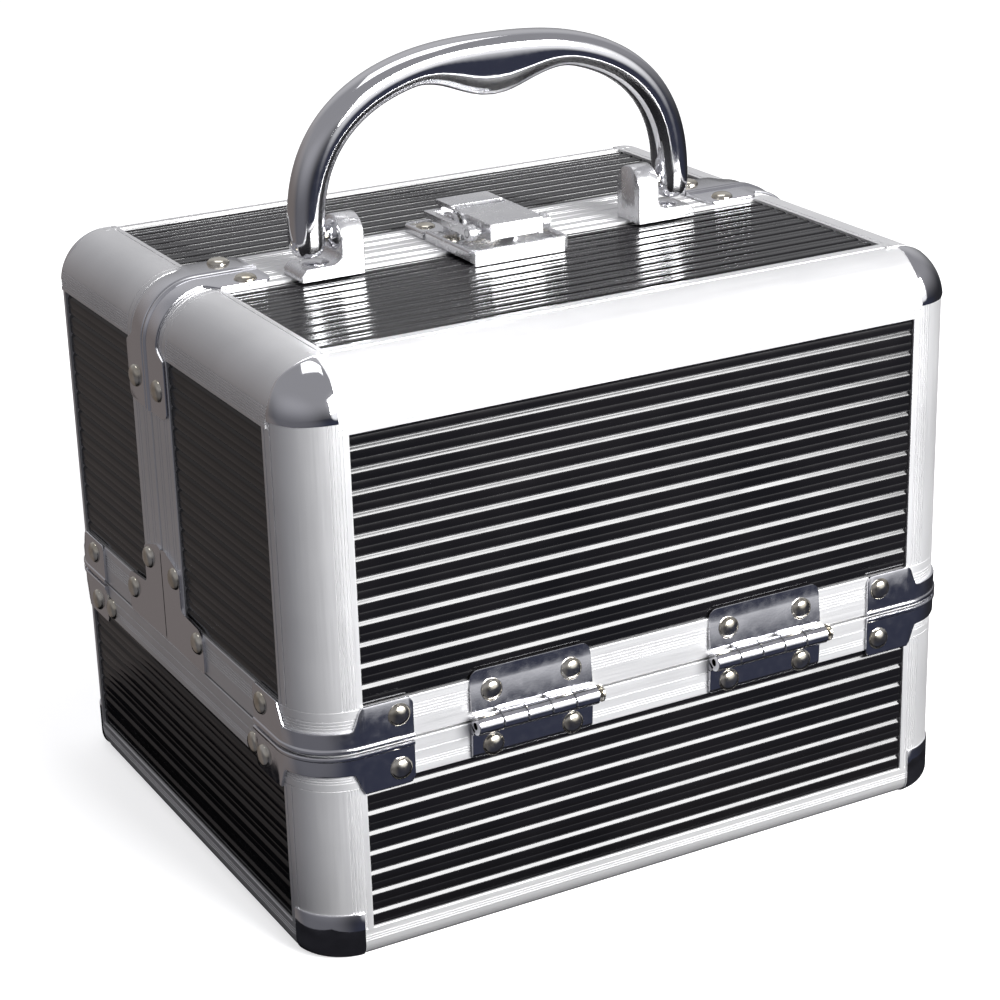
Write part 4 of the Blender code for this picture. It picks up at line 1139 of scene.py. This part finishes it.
# Soft patches of the studio's walls: direction, full within and gone beyond these angles, and light added.
PATCHES = (
    ((0, 0, 1), 60, 98, (0.27, 0.27, 0.285)),
    ((0.44, 0.82, 0.42), 18, 50, (0.21, 0.21, 0.21)),
    ((0.45, -0.85, 0.2), 14, 27, (0.95, 0.95, 0.95)),
    ((-0.85, -0.35, -0.3), 15, 65, (0.11, 0.11, 0.122)),
    ((-0.45, 0.85, -0.3), 15, 50, (0.15, 0.13, 0.12)),
    ((0.5, -0.8, -0.7), 10, 60, (0.012, 0.016, 0.035)),
)
STUDIO_DARK = (0.025, 0.025, 0.03)


def studio_world():
    world = bpy.data.worlds.new("studio")
    bpy.context.scene.world = world
    world.use_nodes = True
    tree = world.node_tree
    direction = tree.nodes.new("ShaderNodeTexCoord").outputs["Generated"]
    total = None
    for toward, full, gone, colour in PATCHES:
        dot = tree.nodes.new("ShaderNodeVectorMath")
        dot.operation = "DOT_PRODUCT"
        dot.inputs[1].default_value = Vector(toward).normalized()
        tree.links.new(direction, dot.inputs[0])
        share = tree.nodes.new("ShaderNodeMapRange")
        share.interpolation_type = "SMOOTHSTEP"
        share.inputs["From Min"].default_value = math.cos(math.radians(gone))
        share.inputs["From Max"].default_value = math.cos(math.radians(full))
        tree.links.new(dot.outputs["Value"], share.inputs["Value"])
        scaled = tree.nodes.new("ShaderNodeVectorMath")
        scaled.operation = "MULTIPLY_ADD"
        scaled.inputs[1].default_value = colour
        scaled.inputs[2].default_value = STUDIO_DARK
        tree.links.new(share.outputs["Result"], scaled.inputs[0])
        if total:
            scaled.inputs[2].default_value = (0, 0, 0)
            tree.links.new(total, scaled.inputs[2])
        total = scaled.outputs["Vector"]
    tree.links.new(total, tree.nodes["Background"].inputs["Color"])


def lighting():
    studio_world()
    softbox("key", (0.42, -1.15, 0.62), (0, 0, 0.09), (0.9, 0.6), 38)
    softbox("top", (0.1, 0.2, 1.3), (0, 0, 0.1), (0.8, 0.6), 2.5)
    bpy.context.scene.view_settings.view_transform = "Standard"


# The eye and its turns, in metres and degrees, and the lens in picture widths.
EYE = (-0.3233, -0.6009, 0.3462)
EYE_TURNS = (-28.35, 21.17, -1.63)
SENSOR = 36
LENS = 2553.8 / 1000


def camera():
    """A long lens from the left and above."""
    turn, tilt, roll = (math.radians(a) for a in EYE_TURNS)
    ahead = Vector((-math.sin(turn) * math.cos(tilt), math.cos(turn) * math.cos(tilt), -math.sin(tilt)))
    level = ahead.cross(Z).normalized()
    above = level.cross(ahead)
    right = level * math.cos(roll) + above * math.sin(roll)
    up = above * math.cos(roll) - level * math.sin(roll)
    data = bpy.data.cameras.new("camera")
    data.sensor_width = SENSOR
    data.lens = LENS * SENSOR
    data.clip_start = 0.01
    eye = bpy.data.objects.new("camera", data)
    bpy.context.scene.collection.objects.link(eye)
    turned = Matrix((right, up, -ahead)).transposed().to_4x4()
    eye.matrix_world = Matrix.Translation(EYE) @ turned
    bpy.context.scene.camera = eye


pale_floor()
painted_reflection_sheet()
lighting()
camera()
base_panels()
base_frame()
rim_hardware("base")
for lid_name, lid_side in SIDES.items():
    lid_panels(lid_name)
    lid_frame(lid_name)
    rim_hardware(lid_name)
    corner_plates(lid_name)
    for end_name, end_side in ENDS.items():
        saddle(lid_name, end_side)
        corner_cap(
            f"{lid_name}_corner_cap_{end_name}", lid_side, end_side,
            f"{lid_name}_lid_cap_{end_name}", f"{lid_name}_lid",
        )
        foot_cap(f"{lid_name}_foot_{end_name}", lid_side, end_side, f"foot_cap_{lid_name}_{end_name}")
        hinge_leaf(f"hinge_leaf_{lid_name}_{end_name}", lid_side, -1, (0, 2, 4), "base")
        hinge_leaf(f"{lid_name}_lid_hinge_leaf_{end_name}", lid_side, 1, (1, 3), f"{lid_name}_lid")
        hinge_pin(f"hinge_pin_{lid_name}_{end_name}", lid_side)
handle()
handle_mounts()
latch()
inside()
